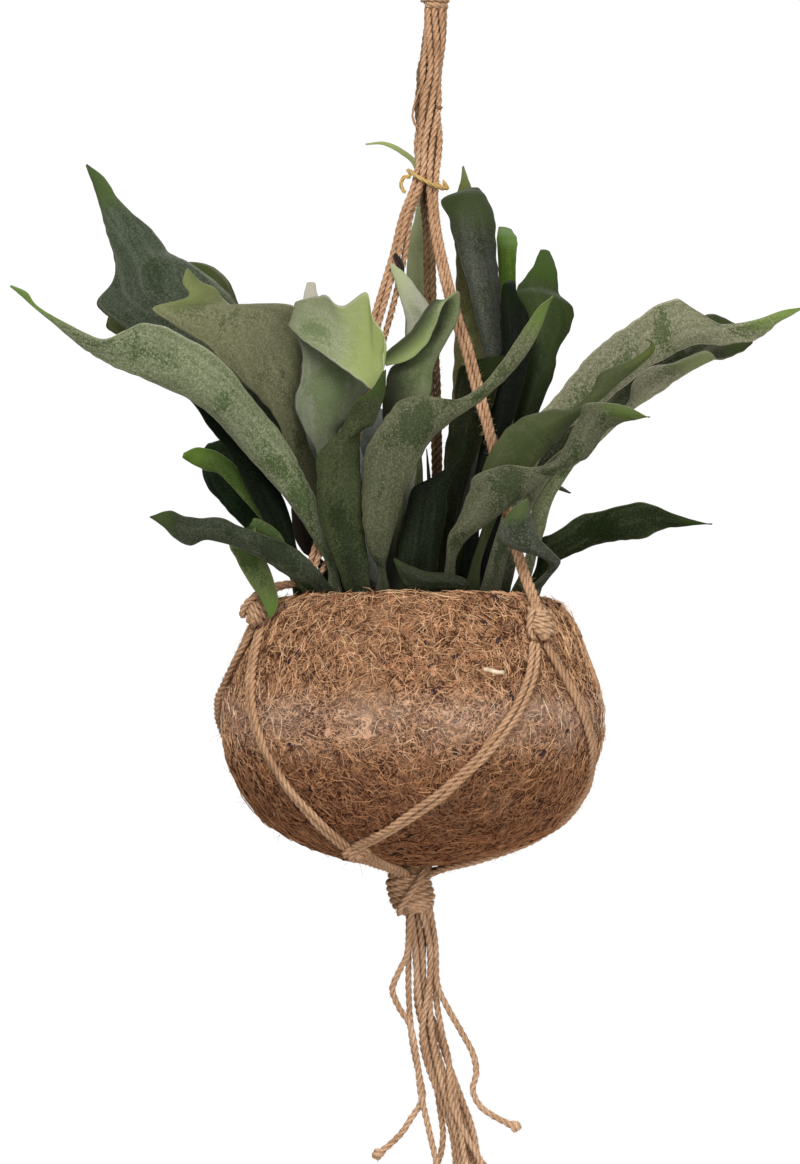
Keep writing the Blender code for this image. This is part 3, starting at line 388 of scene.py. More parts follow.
def wall_at(z):
    """The pot's outer radius at this height, and the wall's outward normal as (outward, up)."""
    for (r0, z0), (r1, z1) in zip(POT_OUTER, POT_OUTER[1:]):
        if z1 <= z <= z0:
            break
    normal = np.array((z0 - z1, r1 - r0)) / hypot(z0 - z1, r1 - r0)
    return r0 + (r1 - r0) * (z0 - z) / (z0 - z1), normal


def on_pot(azimuth, z, clearance):
    """The place this far off the wall, out from its point at this azimuth and height."""
    radius, normal = wall_at(z)
    return round_pot(radius + normal[0] * clearance, azimuth, z + normal[1] * clearance)


def off_wall(azimuth, z):
    """The wall's outward direction here."""
    return unit(on_pot(azimuth, z, 1.0) - on_pot(azimuth, z, 0.0))


def upper_knot(side):
    """Centre and axis of the knot that lies on the pot's shoulder."""
    azimuth, z = UPPER_KNOTS[side]
    normal = wall_at(z)[1]
    outward = round_pot(1.0, azimuth, 0) - round_pot(0.0, azimuth, 0)
    return on_pot(azimuth, z, KNOT_RADIUS + 0.9), np.array((0, 0, normal[0])) - outward * normal[1]


def smooth(points, per_span):
    """A Catmull-Rom curve through rows of numbers, per_span samples to each stretch."""
    p = np.asarray(points, float)
    p = np.vstack((2 * p[0] - p[1], p, 2 * p[-1] - p[-2]))
    out = []
    for a, b, c, d in zip(p, p[1:], p[2:], p[3:]):
        t = (np.arange(per_span) / per_span)[:, None]
        out.append(0.5 * (2 * b + (c - a) * t + (2 * a - 5 * b + 4 * c - d) * t ** 2
                          + (3 * b - a - 3 * c + d) * t ** 3))
    return np.vstack((*out, p[-2]))


def distances(path):
    """How far along the path each point lies."""
    steps = np.linalg.norm(np.diff(path, axis=0), axis=1)
    return np.concatenate(([0.0], np.cumsum(steps)))


def evenly(path, step):
    """The same path with its points this far apart."""
    s = distances(path)
    at = np.linspace(0, s[-1], max(2, round(s[-1] / step)) + 1)
    return np.column_stack([np.interp(at, s, path[:, k]) for k in range(path.shape[1])])


def unit(v):
    return v / np.maximum(np.linalg.norm(v, axis=-1, keepdims=True), 1e-12)


def carried_frames(path):
    """Two directions across the path at each point, carried along it without spinning."""
    along = unit(np.gradient(path, axis=0))
    side = np.zeros_like(path)
    side[0] = unit(np.cross(along[0], (0.0, 1.0, 0.2)))
    for i in range(1, len(path)):
        side[i] = unit(side[i - 1] - along[i] * np.dot(side[i - 1], along[i]))
    return side, np.cross(along, side)


def across_axis(axis):
    """The axis as a unit, and two directions square to it."""
    axis = unit(np.asarray(axis, float))
    side = unit(np.cross(axis, (0.0, 1.0, 0.01)))
    return axis, side, np.cross(axis, side)


def wobble(at, scale, seed):
    """Smooth unevenness between about -1 and 1."""
    return noise.noise(Vector((at[0] * scale + seed, at[1] * scale - seed, at[2] * scale)))


# ---------------------------------------------------------------- meshes and declaring


def placed(name, data):
    """A new object in the scene, in place of one that an earlier press of its button left."""
    old = bpy.data.objects.get(name)
    if old is not None:
        bpy.data.objects.remove(old, do_unlink=True)
    obj = bpy.data.objects.new(name, data)
    bpy.context.scene.collection.objects.link(obj)
    return obj


def made(name, verts, faces, uvs=None, mat=None):
    """A smooth mesh object from millimetres; uvs holds one pair for each face corner."""
    mesh = bpy.data.meshes.new(name)
    mesh.from_pydata((np.asarray(verts) * MM).tolist(), [], faces)
    if uvs is not None:
        layer = mesh.uv_layers.new(name="UVMap")
        layer.data.foreach_set("uv", np.asarray(uvs, np.float32).ravel())
    mesh.shade_smooth()
    if mat is not None:
        mesh.materials.append(mat)
    return placed(name, mesh)


def declare(obj, nodes):
    """Rides the piece on the one body, for these CAD nodes or for none."""
    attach(obj, "root")
    if nodes:
        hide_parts(*nodes)
    return obj


def dropped(*objects):
    """Removes throwaway objects."""
    for obj in objects:
        bpy.data.objects.remove(obj, do_unlink=True)


def ring_quads(rows, around):
    """Quads between rings of points, after the row and the column where each one starts."""
    i, j = np.indices((rows - 1, around)).reshape(2, -1)
    k = (j + 1) % around
    return i, j, np.column_stack((i * around + j, i * around + k, (i + 1) * around + k, (i + 1) * around + j))


def ring_ends(rows, around):
    """The first and the last ring as faces, which close a skin."""
    return [list(range(around))[::-1], list(range((rows - 1) * around, rows * around))]


def full_turn(sides, rows=None):
    """The angles of a ring's points, one row of them for each ring if rows is given."""
    turn = np.linspace(0, 2 * pi, sides, endpoint=False)
    return turn if rows is None else np.tile(turn, (rows, 1))


def tube_shell(path, radii, angles):
    """Closed skin round a path: radii and angles hold one row for each point. Gives verts, faces, uvs."""
    side, up = carried_frames(path)
    rings = path[:, None, :] + radii[..., None] * (
        np.cos(angles)[..., None] * side[:, None, :] + np.sin(angles)[..., None] * up[:, None, :])
    rows, around = radii.shape
    i, j, quads = ring_quads(rows, around)
    s = distances(path) * MM
    uvs = np.stack([np.column_stack(((j + over) / around, s[i + down]))
                    for over, down in ((0, 0), (1, 0), (1, 1), (0, 1))], axis=1)
    end_uvs = np.zeros((2 * around, 2))
    end_uvs[around:, 1] = s[-1]
    return (rings.reshape(-1, 3), quads.tolist() + ring_ends(rows, around),
            np.vstack((uvs.reshape(-1, 2), end_uvs)))


def strand_shell(route, diameter, pitch, seed, step=0.78, taper=0.0):
    """A laid rope of three plies and its path; taper is how far its end swells before it closes."""
    path = evenly(smooth(route, 12), step)
    turn = full_turn(15)
    off = np.abs((turn + pi / 3) % (2 * pi / 3) - pi / 3)
    reach = 1 - PLY_SHARE
    lobed = reach * np.cos(off) + np.sqrt(PLY_SHARE ** 2 - (reach * np.sin(off)) ** 2)
    s = distances(path)
    swell = np.array([1 + 0.05 * wobble(p, 0.09, seed) + 0.03 * wobble(p, 0.4, seed) for p in path])
    left = s[-1] - s
    swell *= 1 + taper * np.exp(-((left - 3.4) / 3.0) ** 2)
    swell[left < 2.0] *= np.sqrt(np.clip(left[left < 2.0] / 2.0, 0.05, 1))
    swell[s < 1.0] *= 0.9
    radii = diameter / 2 * lobed[None, :] * swell[:, None]
    angles = turn[None, :] + (2 * pi / pitch * s + seed)[:, None]
    return tube_shell(path, radii, angles), path


# ---------------------------------------------------------------- materials


def new_material(name, rough, gloss=0.3):
    old = bpy.data.materials.get(name)
    if old is not None:
        bpy.data.materials.remove(old)
    mat = bpy.data.materials.new(name)
    mat.use_nodes = True
    shader = mat.node_tree.nodes["Principled BSDF"]
    shader.inputs["Roughness"].default_value = rough
    shader.inputs["Specular IOR Level"].default_value = gloss
    return mat


class Wiring:
    """Short words for a material's nodes."""

    def __init__(self, mat):
        self.tree = mat.node_tree
        self.shader = self.tree.nodes["Principled BSDF"]

    def give(self, socket, value):
        """Links a socket to the input, or sets it to a number, a vector or a colour."""
        if hasattr(value, "links"):
            self.tree.links.new(value, socket)
        elif socket.type == "RGBA":
            socket.default_value = (*value, 1)
        else:
            socket.default_value = value

    def node(self, kind, **settings):
        found = self.tree.nodes.new(kind)
        for key, value in settings.items():
            if key in found.inputs:
                self.give(found.inputs[key], value)
            else:
                setattr(found, key, value)
        return found

    def objects(self):
        return self.node("ShaderNodeTexCoord").outputs["Object"]

    def uv(self):
        return self.node("ShaderNodeUVMap", uv_map="UVMap").outputs["UV"]

    def attribute(self, name, output="Fac"):
        return self.node("ShaderNodeAttribute", attribute_name=name).outputs[output]

    def part(self, vector, axis):
        return self.node("ShaderNodeSeparateXYZ", Vector=vector).outputs[axis]

    def mapped(self, vector, scale=(1, 1, 1), shift=(0, 0, 0)):
        return self.node("ShaderNodeMapping", Vector=vector, Scale=scale, Location=shift).outputs["Vector"]

    def noise(self, vector, scale, detail=4.0, rough=0.6, distort=0.0):
        return self.node("ShaderNodeTexNoise", Vector=vector, Scale=scale, Detail=detail, Roughness=rough,
                         Distortion=distort).outputs["Fac"]

    def ramp(self, fac, *stops):
        """A colour ramp of (position, grey or colour) stops."""
        found = self.node("ShaderNodeValToRGB", Fac=fac)
        items = found.color_ramp.elements
        while len(items) < len(stops):
            items.new(0.5)
        for item, (position, value) in zip(items, stops):
            item.position = position
            item.color = (value, value, value, 1) if isinstance(value, (int, float)) else (*value, 1)
        return found.outputs["Color"]

    def mix(self, fac, a, b, how="MIX"):
        found = self.node("ShaderNodeMix", data_type="RGBA", blend_type=how)
        for socket, value in zip((found.inputs["Factor"], found.inputs[6], found.inputs[7]), (fac, a, b)):
            self.give(socket, value)
        return found.outputs[2]

    def maths(self, how, a, b=0.0):
        found = self.node("ShaderNodeMath", operation=how)
        for socket, value in zip(found.inputs, (a, b)):
            self.give(socket, value)
        return found.outputs[0]

    def total(self, *terms):
        """The sum of its terms, each a socket or a (socket, weight) pair."""
        whole = None
        for term in terms:
            if isinstance(term, tuple):
                term = self.maths("MULTIPLY", *term)
            whole = term if whole is None else self.maths("ADD", whole, term)
        return whole

    def up_the_pot(self, at):
        """0 at the pot's foot and 1 just above its rim."""
        return self.maths("MULTIPLY", self.maths("ADD", self.part(at, "Z"), FOOT_M), PER_HEIGHT)

    def bump(self, height, strength, distance_mm):
        found = self.node("ShaderNodeBump", Height=height, Strength=strength, Distance=distance_mm * MM)
        self.give(self.shader.inputs["Normal"], found.outputs["Normal"])

    def colour(self, socket):
        self.give(self.shader.inputs["Base Color"], socket)


def jute_material(name, low, middle, high):
    """Laid jute: fine fibres along each ply, lighter and darker by turns, and painted shade in the grooves between
    plies.
    """
    mat = new_material(name, 0.85, 0.15)
    w = Wiring(mat)
    uv = w.uv()
    fibres = w.noise(w.mapped(uv, (14, 900, 1)), 1.6, 5, 0.7)
    threads = w.noise(w.mapped(uv, (60, 260, 1)), 1.0, 3, 0.6)
    tone = w.total((fibres, 0.6), (threads, 0.34), (w.noise(w.objects(), 55, 3, 0.6), 0.24))
    # painted shade: the grooves between the plies are darkened
    groove = w.maths("ABSOLUTE", w.maths("SINE", w.maths("MULTIPLY", w.part(uv, "X"), 3 * pi)))
    shade = w.ramp(groove, (0.70, 1.0), (0.92, 0.80), (1.0, 0.56))
    w.colour(w.mix(1.0, w.ramp(tone, (0.42, low), (0.58, middle), (0.76, high)), shade, "MULTIPLY"))
    w.bump(w.total(fibres, threads), 0.7, 0.35)
    return mat


def coir_material(hair_colour):
    """The felt between the loose fibres: crossing hairs over dark gaps, a paler band and painted shade that darkens
    the foot.
    """
    mat = new_material("coir_felt", 0.95, 0.1)
    w = Wiring(mat)
    at = w.objects()
    tangle = None
    for scale, thin, where in ((95, 0.030, 0.0), (150, 0.034, 3.0), (230, 0.045, 7.0), (330, 0.05, 11.0)):
        hairs = w.noise(w.mapped(at, shift=(where, -where, where)), scale, 1.5, 0.5, 0.9)
        off = w.maths("ABSOLUTE", w.maths("SUBTRACT", hairs, 0.5))
        lit = w.ramp(off, (0.0, 1.0), (thin, 0.0))
        tangle = lit if tangle is None else w.maths("MAXIMUM", tangle, lit)
    patches = w.noise(at, 38, 4, 0.6)
    # the paler band is the felt's own; the darkening towards the foot is painted shade
    band_and_foot_shade = w.ramp(w.up_the_pot(at),
                  (0.0, (0.56, 0.47, 0.41)), (0.18, (0.72, 0.64, 0.58)), (0.40, (0.88, 0.82, 0.78)),
                  (0.47, (1.26, 1.36, 1.52)), (0.58, (1.42, 1.64, 1.98)), (0.68, (1.08, 1.06, 1.0)),
                  (1.0, (0.92, 0.88, 0.82)))
    base = w.mix(tangle, (0.055, 0.022, 0.011), hair_colour)
    base = w.mix(w.ramp(patches, (0.42, 0.0), (0.70, 0.4)), base, (0.42, 0.25, 0.150))
    specks = w.noise(at, 130, 2, 0.5)
    base = w.mix(w.ramp(specks, (0.69, 0.0), (0.74, 0.8)), base, (0.035, 0.018, 0.014))
    w.colour(w.mix(1.0, base, band_and_foot_shade, "MULTIPLY"))
    w.bump(w.total(tangle, patches), 0.9, 0.9)
    return mat


def fibre_material(name, dark, light, foot_shade=None):
    """Loose fibres, each darker or lighter by where it lies; foot_shade paints shade that darkens them down the pot.
    """
    mat = new_material(name, 0.8, 0.12)
    w = Wiring(mat)
    at = w.objects()
    tone = w.ramp(w.noise(at, 210, 3, 0.65), (0.33, dark), (0.68, light))
    if foot_shade is not None:
        # painted shade towards the pot's foot; the paler band is the fibres' own
        shade = w.ramp(w.up_the_pot(at), (0.0, foot_shade), (0.36, (0.70, 0.58, 0.50)),
                       (0.45, (0.95, 0.90, 0.86)), (0.51, (1.10, 1.16, 1.26)), (0.61, (1.10, 1.16, 1.26)),
                       (0.68, (1.0, 0.98, 0.96)))
        tone = w.mix(1.0, tone, shade, "MULTIPLY")
    w.colour(tone)
    return mat


def crumb_material():
    """Dark bark and peat crumbs."""
    mat = new_material("potting_crumbs", 0.95)
    w = Wiring(mat)
    at = w.objects()
    w.colour(w.ramp(w.noise(at, 120, 5, 0.7), (0.35, (0.012, 0.008, 0.006)), (0.55, (0.05, 0.03, 0.018)),
                    (0.75, (0.13, 0.08, 0.045))))
    w.bump(w.noise(at, 300, 4, 0.7), 0.8, 1.0)
    return mat


def leaf_material(name, front, back, worn, tip, dusty, wear, gloss):
    """Leathery leaf: scurf over green, worn clean in patches down the middle, pale at its edges, painted shade at
    its foot.
    """
    mat = new_material(name, 0.66, gloss)
    w = Wiring(mat)
    at, uv = w.objects(), w.uv()
    along, across = w.attribute("along"), w.attribute("across")
    base = w.mix(w.attribute("side"), front, back)
    cloud = w.noise(at, 24, 4, 0.6, 0.5)
    base = w.mix(w.ramp(cloud, (0.30, 0.45), (0.66, 0.0)), base, w.mix(0.5, base, (0.0, 0.0, 0.0)))
    streak = w.noise(w.mapped(uv, (260, 14, 1)), 1.0, 3, 0.5, 0.4)
    base = w.mix(w.ramp(streak, (0.45, 0.0), (0.75, 0.16)), base, w.mix(0.5, base, (0.9, 0.95, 0.8)))
    grain = w.total((w.noise(at, 800, 3, 0.65), 0.6), (w.noise(at, 1900, 2, 0.6), 0.4))
    patch = w.noise(w.mapped(at, (30, 30, 17)), 1.0, 5, 0.68, 0.7)
    worn_at = w.total(patch, w.ramp(across, (0.15, 0.12), (0.9, 0.0)), (grain, -0.45))
    rub = w.ramp(worn_at, (0.42 - 0.12 * wear, 0.0), (0.51 - 0.12 * wear, 0.95))
    base = w.mix(rub, base, worn)
    dust = w.maths("MULTIPLY", w.ramp(grain, (0.47, 0.0), (0.62, dusty)), w.ramp(rub, (0.0, 1.0), (1.0, 0.45)))
    base = w.mix(dust, base, w.mix(0.34, base, (0.78, 0.80, 0.70)))
    pits = w.ramp(grain, (0.36, 0.6 * dusty), (0.46, 0.0))
    base = w.mix(pits, base, w.mix(0.5, base, (0.01, 0.02, 0.005)))
    youth = w.ramp(w.total(along, (patch, 0.16)), (0.93, 0.0), (1.0, 0.8))
    base = w.mix(youth, base, tip)
    rim = w.ramp(across, (0.91, 0.0), (0.985, 0.5))
    base = w.mix(rim, base, w.mix(0.45, base, (0.80, 0.82, 0.62)))
    # painted shade: each blade's foot is darkened nearly to black where the fronds crowd
    base = w.mix(w.ramp(along, (0.0, 0.78), (0.26, 0.0)), base, (0.012, 0.016, 0.008))
    # painted shade and light: the colour is multiplied by each frond's tint, which carries them
    w.colour(w.mix(1.0, base, w.attribute("tint", "Color"), "MULTIPLY"))
    veins = w.noise(w.mapped(uv, (700, 18, 1)), 1.0, 3, 0.5, 0.2)
    w.bump(w.total((veins, 0.6), (grain, 0.5)), 0.45, 0.5)
    return mat


# front, back, worn and tip colour of each kind of frond, and how dusty it is
LEAVES = {
    "olive": ((0.125, 0.150, 0.085), (0.20, 0.22, 0.14), (0.050, 0.078, 0.026), (0.14, 0.24, 0.05), 0.62),
    "grey": ((0.070, 0.092, 0.066), (0.15, 0.17, 0.12), (0.036, 0.056, 0.022), (0.11, 0.17, 0.05), 0.42),
    "taupe": ((0.185, 0.190, 0.130), (0.15, 0.17, 0.12), (0.085, 0.100, 0.050), (0.17, 0.20, 0.09), 0.5),
    "lime": ((0.190, 0.260, 0.105), (0.24, 0.32, 0.12), (0.130, 0.200, 0.060), (0.27, 0.38, 0.09), 0.22),
    "pale": ((0.360, 0.400, 0.270), (0.42, 0.46, 0.32), (0.220, 0.280, 0.140), (0.38, 0.46, 0.22), 0.3),
    "bright": ((0.090, 0.165, 0.042), (0.15, 0.23, 0.08), (0.060, 0.120, 0.025), (0.14, 0.27, 0.05), 0.3),
    # the dark kind is painted shade: its colours stand for fronds in shadow deep in the crown
    "dark": ((0.036, 0.050, 0.030), (0.075, 0.09, 0.06), (0.026, 0.042, 0.016), (0.06, 0.10, 0.03), 0.25),
    "beige": ((0.500, 0.440, 0.350), (0.50, 0.44, 0.35), (0.350, 0.270, 0.180), (0.35, 0.22, 0.14), 0.2),
    "brown": ((0.050, 0.026, 0.018), (0.06, 0.03, 0.02), (0.035, 0.016, 0.012), (0.09, 0.05, 0.03), 0.2),
}


# ---------------------------------------------------------------- scattering


def scatter_tree():
    """Geometry Nodes: picks from a few small shapes and plants them over a surface."""
    name = "Scatter over a surface"
    old = bpy.data.node_groups.get(name)
    if old is not None:
        return old
    tree = bpy.data.node_groups.new(name, "GeometryNodeTree")
    tree.interface.new_socket("Geometry", in_out="OUTPUT", socket_type="NodeSocketGeometry")
    for label, kind in (("Surface", "Geometry"), ("Shapes", "Collection"), ("Density", "Float"), ("Seed", "Int"),
                        ("Smallest", "Float"), ("Largest", "Float"), ("Lean", "Float"), ("Material", "Material")):
        tree.interface.new_socket(label, in_out="INPUT", socket_type="NodeSocket" + kind)

    def add(kind, given, **settings):
        found = tree.nodes.new(kind)
        for key, value in settings.items():
            setattr(found, key, value)
        for key, value in given.items():
            if hasattr(value, "links"):
                tree.links.new(value, found.inputs[key])
            else:
                found.inputs[key].default_value = value
        return found.outputs

    asked = add("NodeGroupInput", {})
    points = add("GeometryNodeDistributePointsOnFaces", {
        "Mesh": asked["Surface"], "Density": asked["Density"], "Seed": asked["Seed"]})
    shapes = add("GeometryNodeCollectionInfo", {
        "Collection": asked["Shapes"], "Separate Children": True, "Reset Children": True})
    size = add("FunctionNodeRandomValue", {2: asked["Smallest"], 3: asked["Largest"]})
    planted = add("GeometryNodeInstanceOnPoints", {
        "Points": points["Points"], "Rotation": points["Rotation"], "Instance": shapes["Instances"],
        "Pick Instance": True, "Scale": size[1]})
    most = add("ShaderNodeCombineXYZ", {0: asked["Lean"], 1: asked["Lean"], 2: 2 * pi})
    least = add("ShaderNodeVectorMath", {0: most[0], 1: (-1, -1, 0)}, operation="MULTIPLY")
    lean = add("FunctionNodeRandomValue", {0: least[0], 1: most[0]}, data_type="FLOAT_VECTOR")
    turned = add("GeometryNodeRotateInstances", {"Instances": planted["Instances"], "Rotation": lean[0]})
    real = add("GeometryNodeRealizeInstances", {"Geometry": turned["Instances"]})
    coated = add("GeometryNodeSetMaterial", {"Geometry": real["Geometry"], "Material": asked["Material"]})
    add("NodeGroupOutput", {"Geometry": coated["Geometry"]})
    return tree


def scattered(name, surface, shapes, count, seed, smallest, largest, lean, mat):
    """A plain mesh of about this many of the shapes planted over the surface."""
    tree = scatter_tree()
    obj = placed(name, surface.data.copy())
    modifier = obj.modifiers.new("Scatter", "NODES")
    modifier.node_group = tree
    area = sum(face.area for face in surface.data.polygons)
    given = {"Shapes": shapes, "Density": float(count / area), "Seed": seed, "Smallest": smallest,
             "Largest": largest, "Lean": lean, "Material": mat}
    for item in tree.interface.items_tree:
        if item.in_out == "INPUT" and item.name in given:
            modifier[item.identifier] = given[item.name]
    bpy.context.view_layer.update()
    graph = bpy.context.evaluated_depsgraph_get()
    mesh = bpy.data.meshes.new_from_object(obj.evaluated_get(graph))
    obj.modifiers.clear()
    obj.data = mesh
    mesh.materials.clear()
    mesh.materials.append(mat)
    mesh.shade_smooth()
    if not mesh.polygons:
        raise RuntimeError(f"{name}: nothing was planted")
    dropped(*shapes.objects)
    bpy.data.collections.remove(shapes)
    return obj


def shape_collection(name, objects):
    """The shapes to pick from, out of the scene and in a collection of their own."""
    found = bpy.data.collections.new(name)
    for obj in objects:
        bpy.context.scene.collection.objects.unlink(obj)
        found.objects.link(obj)
    return found


def hair_shapes(name, length, thick, lying, spans=6):
    """Seven bent hairs: lying ones run along X and hug the ground, standing ones rise along Z."""
    rng = np.random.default_rng(7)
    t = np.linspace(-0.5, 0.5, spans + 1)
    shapes = []
    for k in range(7):
        bend = rng.uniform(-0.8, 0.8)
        curl = rng.uniform(-0.2, 0.2)
        line = bend * (t ** 2 - 0.25) + curl * np.sin(2 * pi * t)
        if lying:
            rise = 0.035 * np.cos(pi * t) * length + thick * 0.2
            path = np.column_stack((t * length, line * length, rise))
            width = thick / 2 * np.sqrt(np.clip(1.08 - (2 * t) ** 2, 0.08, 1))
        else:
            path = np.column_stack((line * length, bend * 0.4 * t * length, (t + 0.46) * length))
            width = thick / 2 * np.linspace(1.0, 0.35, spans + 1)
        verts, faces, _ = tube_shell(path, np.tile(width[:, None], (1, 3)), full_turn(3, spans + 1))
        shapes.append(made(f"{name}_{k}", verts, faces))
    return shape_collection(name, shapes)


def joined(name, objects):
    """One throwaway mesh object that holds copies of these meshes, to plant things on."""
    verts, faces, start = [], [], 0
    for obj in objects:
        mesh = obj.data
        co = np.empty(len(mesh.vertices) * 3, np.float32)
        mesh.vertices.foreach_get("co", co)
        verts.append(co.reshape(-1, 3) / MM)
        faces += [[v + start for v in face.vertices] for face in mesh.polygons if len(face.vertices) == 4]
        start += len(mesh.vertices)
    return made(name, np.vstack(verts), faces)


# ---------------------------------------------------------------- the hanger

# Where the four strands of each leg lie in the bundle: (x, y) under the top knot, then at the tie,
# then how far from the leg's own line they run further down
LEG_STRANDS = {
    "left": (((-3.9, -3.0), (-6.6, -1.6), (-3.2, -1.0)), ((-0.4, -4.6), (-3.0, -4.6), (0.6, -2.6)),
             ((-4.4, 1.2), (-5.6, 2.4), (-1.6, 2.8)), ((-1.0, -0.4), (-2.4, -0.6), (6.0, 2.2))),
    "right": (((3.4, -3.6), (1.4, -5.0), (-1.7, -1.6)), ((5.2, -0.2), (5.2, -3.0), (1.9, -1.6)),
              ((2.6, 0.6), (1.9, -1.0), (-1.5, 2.0)), ((5.0, 3.6), (5.2, 1.2), (2.0, 2.0))),
    "back": (((-3.2, 5.0), (-3.6, 6.0), (-1.9, -1.6)), ((0.6, 3.6), (0.2, 3.4), (1.9, -1.6)),
             ((1.6, 7.4), (-0.4, 8.0), (-1.6, 2.0)), ((-1.4, 8.6), (3.2, 6.4), (1.8, 2.0))),
}


# Threads that have come loose beside the neck of the hanger: diameter and route
FRAYS = (
    (1.3, ((-6.5, -4.0, -106), (-9.4, -4.6, -112), (-12.0, -4.6, -120), (-12.6, -4.4, -127), (-9.6, -4.0, -133))),
    (1.3, ((-6.0, -3.0, -95), (-8.6, -3.4, -98), (-6.6, -3.4, -101.5))),
    (1.9, ((1.0, -4.0, -120.4), (3.2, -4.4, -121), (4.8, -4.4, -120.6))),
)


def leg_strand_route(side, place):
    """One strand of a leg: twisting down the neck of the hanger, through the tie and down to its knot."""
    top, tie, low = LEG_STRANDS[side][place]
    centre, axis = upper_knot(side)
    route = [(0.3 + top[0] * 0.8, top[1] * 0.8, TOP_KNOT_Z + 4), (0.3 + top[0], top[1], TOP_KNOT_Z - 10)]
    for z, middle, turn in ((-82, -0.6, 0.5), (-100, -1.8, 0.95), (-120, -2.9, 0.6), (-140, -3.8, 0.2)):
        share = (z + 64) / -98
        x, y = (top[k] + (tie[k] - top[k]) * share for k in (0, 1))
        reach = 1.0 + 0.22 * sin(z * 0.13 + place * 2.1 + len(side))
        route.append((middle + reach * (x * cos(turn) - y * sin(turn)),
                      reach * (x * sin(turn) + y * cos(turn)), z))
    route.append((-4.4 + tie[0], tie[1], TIE_Z))
    bends = LEG_BENDS[side]
    for i, bend in enumerate(bends):
        share = min(1.0, (i + 1) / 3)
        squeeze = 1.0 if i < len(bends) - 2 else 0.75
        x, y = (tie[k] * 0.6 * (1 - share) + low[k] * share * squeeze for k in (0, 1))
        route.append((bend[0] + x, bend[1] + y, bend[2]))
    route.append(centre + axis * (KNOT_HEIGHT / 2 + 1) + np.array((low[0] * 0.8, low[1] * 0.6, 0)))
    route.append(centre + axis * 3 + np.array((low[0] * 0.4, low[1] * 0.4, 0)))
    return route


def coil_route(centre, axis, radius, turns, pitch, start, squash, slope, belly):
    """Wraps round an axis: slope tips each turn, and belly draws in the first and the last."""
    axis, side, ahead = across_axis(axis)
    steps = int(turns * 14)
    out = []
    for k in range(steps + 1):
        share = k / steps
        angle = start + 2 * pi * turns * share
        lift = (share - 0.5) * turns * pitch + slope * radius * cos(angle + 1.3 * share)
        wide = 1 - belly + belly * max(0.0, sin(pi * share)) ** 0.7 + 0.06 * sin(7.1 * share + start)
        out.append(centre + axis * lift + radius * wide * (cos(angle) * side + squash * sin(angle) * ahead))
    return out


def make_strand(name, route, mat, settings, nodes=(), taper=0.0, diameter=STRAND, seed=0.0, step=0.78):
    """One laid strand along a route; gives the piece and the path it follows."""
    shell, path = strand_shell(route, diameter, settings.rope_pitch / MM, seed, step, taper)
    return declare(made(name, *shell, mat), nodes), path


def core(name, centre, axis, radius, height, mat):
    """The strands hidden under a knot's wraps."""
    t = np.linspace(-0.5, 0.5, 9)
    path = centre + across_axis(axis)[0] * (t * height)[:, None]
    radii = np.tile((radius * np.sqrt(1.02 - (1.75 * t) ** 4 * 0.9))[:, None], (1, 16))
    return declare(made(name, *tube_shell(path, radii, full_turn(16, 9)), mat), ())


def strand_over(centre, axis, radius, height, turn, lean):
    """A strand that crosses a knot's wraps slantwise and tucks in at both ends."""
    axis, side, ahead = across_axis(axis)
    out = []
    for k in range(9):
        t = k / 8 - 0.5
        angle = turn + lean * t
        reach = radius * (1.12 - 1.6 * abs(t) ** 3)
        out.append(centre + axis * (t * height) + reach * (cos(angle) * side + sin(angle) * ahead))
    return out


def make_knot(name, nodes, centre, axis, radius, turns, mat, settings, start=0.0, squash=1.0, slope=0.12,
              overs=(), belly=0.26):
    """Wraps over a core, their ends tucked in; overs holds (turn, lean) of each strand that crosses them."""
    axis = across_axis(axis)[0]
    coil = coil_route(centre, axis, radius - STRAND / 2 + 0.4, turns, STRAND * 0.93, start, squash, slope, belly)
    first, last = (end + unit(np.asarray(centre, float) - end) * 2.5 for end in (coil[0], coil[-1]))
    wraps, _ = make_strand(name, [first, *coil, last], mat, settings, nodes, seed=start, step=0.55)
    core(name + "_core", centre - axis * 1.2, axis, radius - STRAND * 0.75, turns * STRAND * 0.95 + 2.6, mat)
    for k, (turn, lean) in enumerate(overs):
        make_strand(f"{name}_over_{k + 1}", strand_over(centre, axis, radius, turns * STRAND * 0.98, turn, lean),
                    mat, settings, seed=k + start)
    return wraps


def pair_routes(points, normals, seed):
    """Two strands side by side along a line on the pot, rolling over each other now and then."""
    p = np.asarray(points, float)
    across = unit(np.cross(unit(np.gradient(p, axis=0)), normals))
    s = distances(p)
    roll = 0.55 * np.sin(s / 34.0 + seed) + 0.3 * np.sin(s / 15.0 + 2 * seed)
    out = []
    for sign in (-1, 1):
        shift = sign * (np.cos(roll)[:, None] * across + np.sin(roll)[:, None] * normals * 0.45)
        out.append(p + shift * PAIR_SPREAD + normals * (np.abs(np.sin(roll)) * 0.9)[:, None])
    return out


def net_line(start_azimuth, start_z, end_azimuth, end_z, swings_late):
    """Places and wall directions from an upper knot down to a crossing."""
    points, normals = [], []
    for k in range(19):
        t = k / 18
        share = 0.72 * t ** 1.3 + 0.28 * t ** 8 if swings_late else t ** 1.35
        azimuth = start_azimuth + (end_azimuth - start_azimuth) * share
        z = start_z + (end_z - start_z) * t
        points.append(on_pot(azimuth, z, NET_CLEARANCE))
        normals.append(off_wall(azimuth, z))
    return points, normals


def under_pot(azimuth, low, goal_radius):
    """From a crossing along the pot's underside into the gathering knot."""
    points, normals = [], []
    for z in ((low + UNDERSIDE_Z) / 2, UNDERSIDE_Z):
        points.append(on_pot(azimuth, z, NET_CLEARANCE))
        normals.append(off_wall(azimuth, z))
    for radius, z in ((19.0, -560.4), (goal_radius, -565.0), (goal_radius - 2.5, -571.0)):
        points.append(round_pot(radius, azimuth, z))
        normals.append(np.array((0.0, 0.0, -1.0)))
    return points, normals


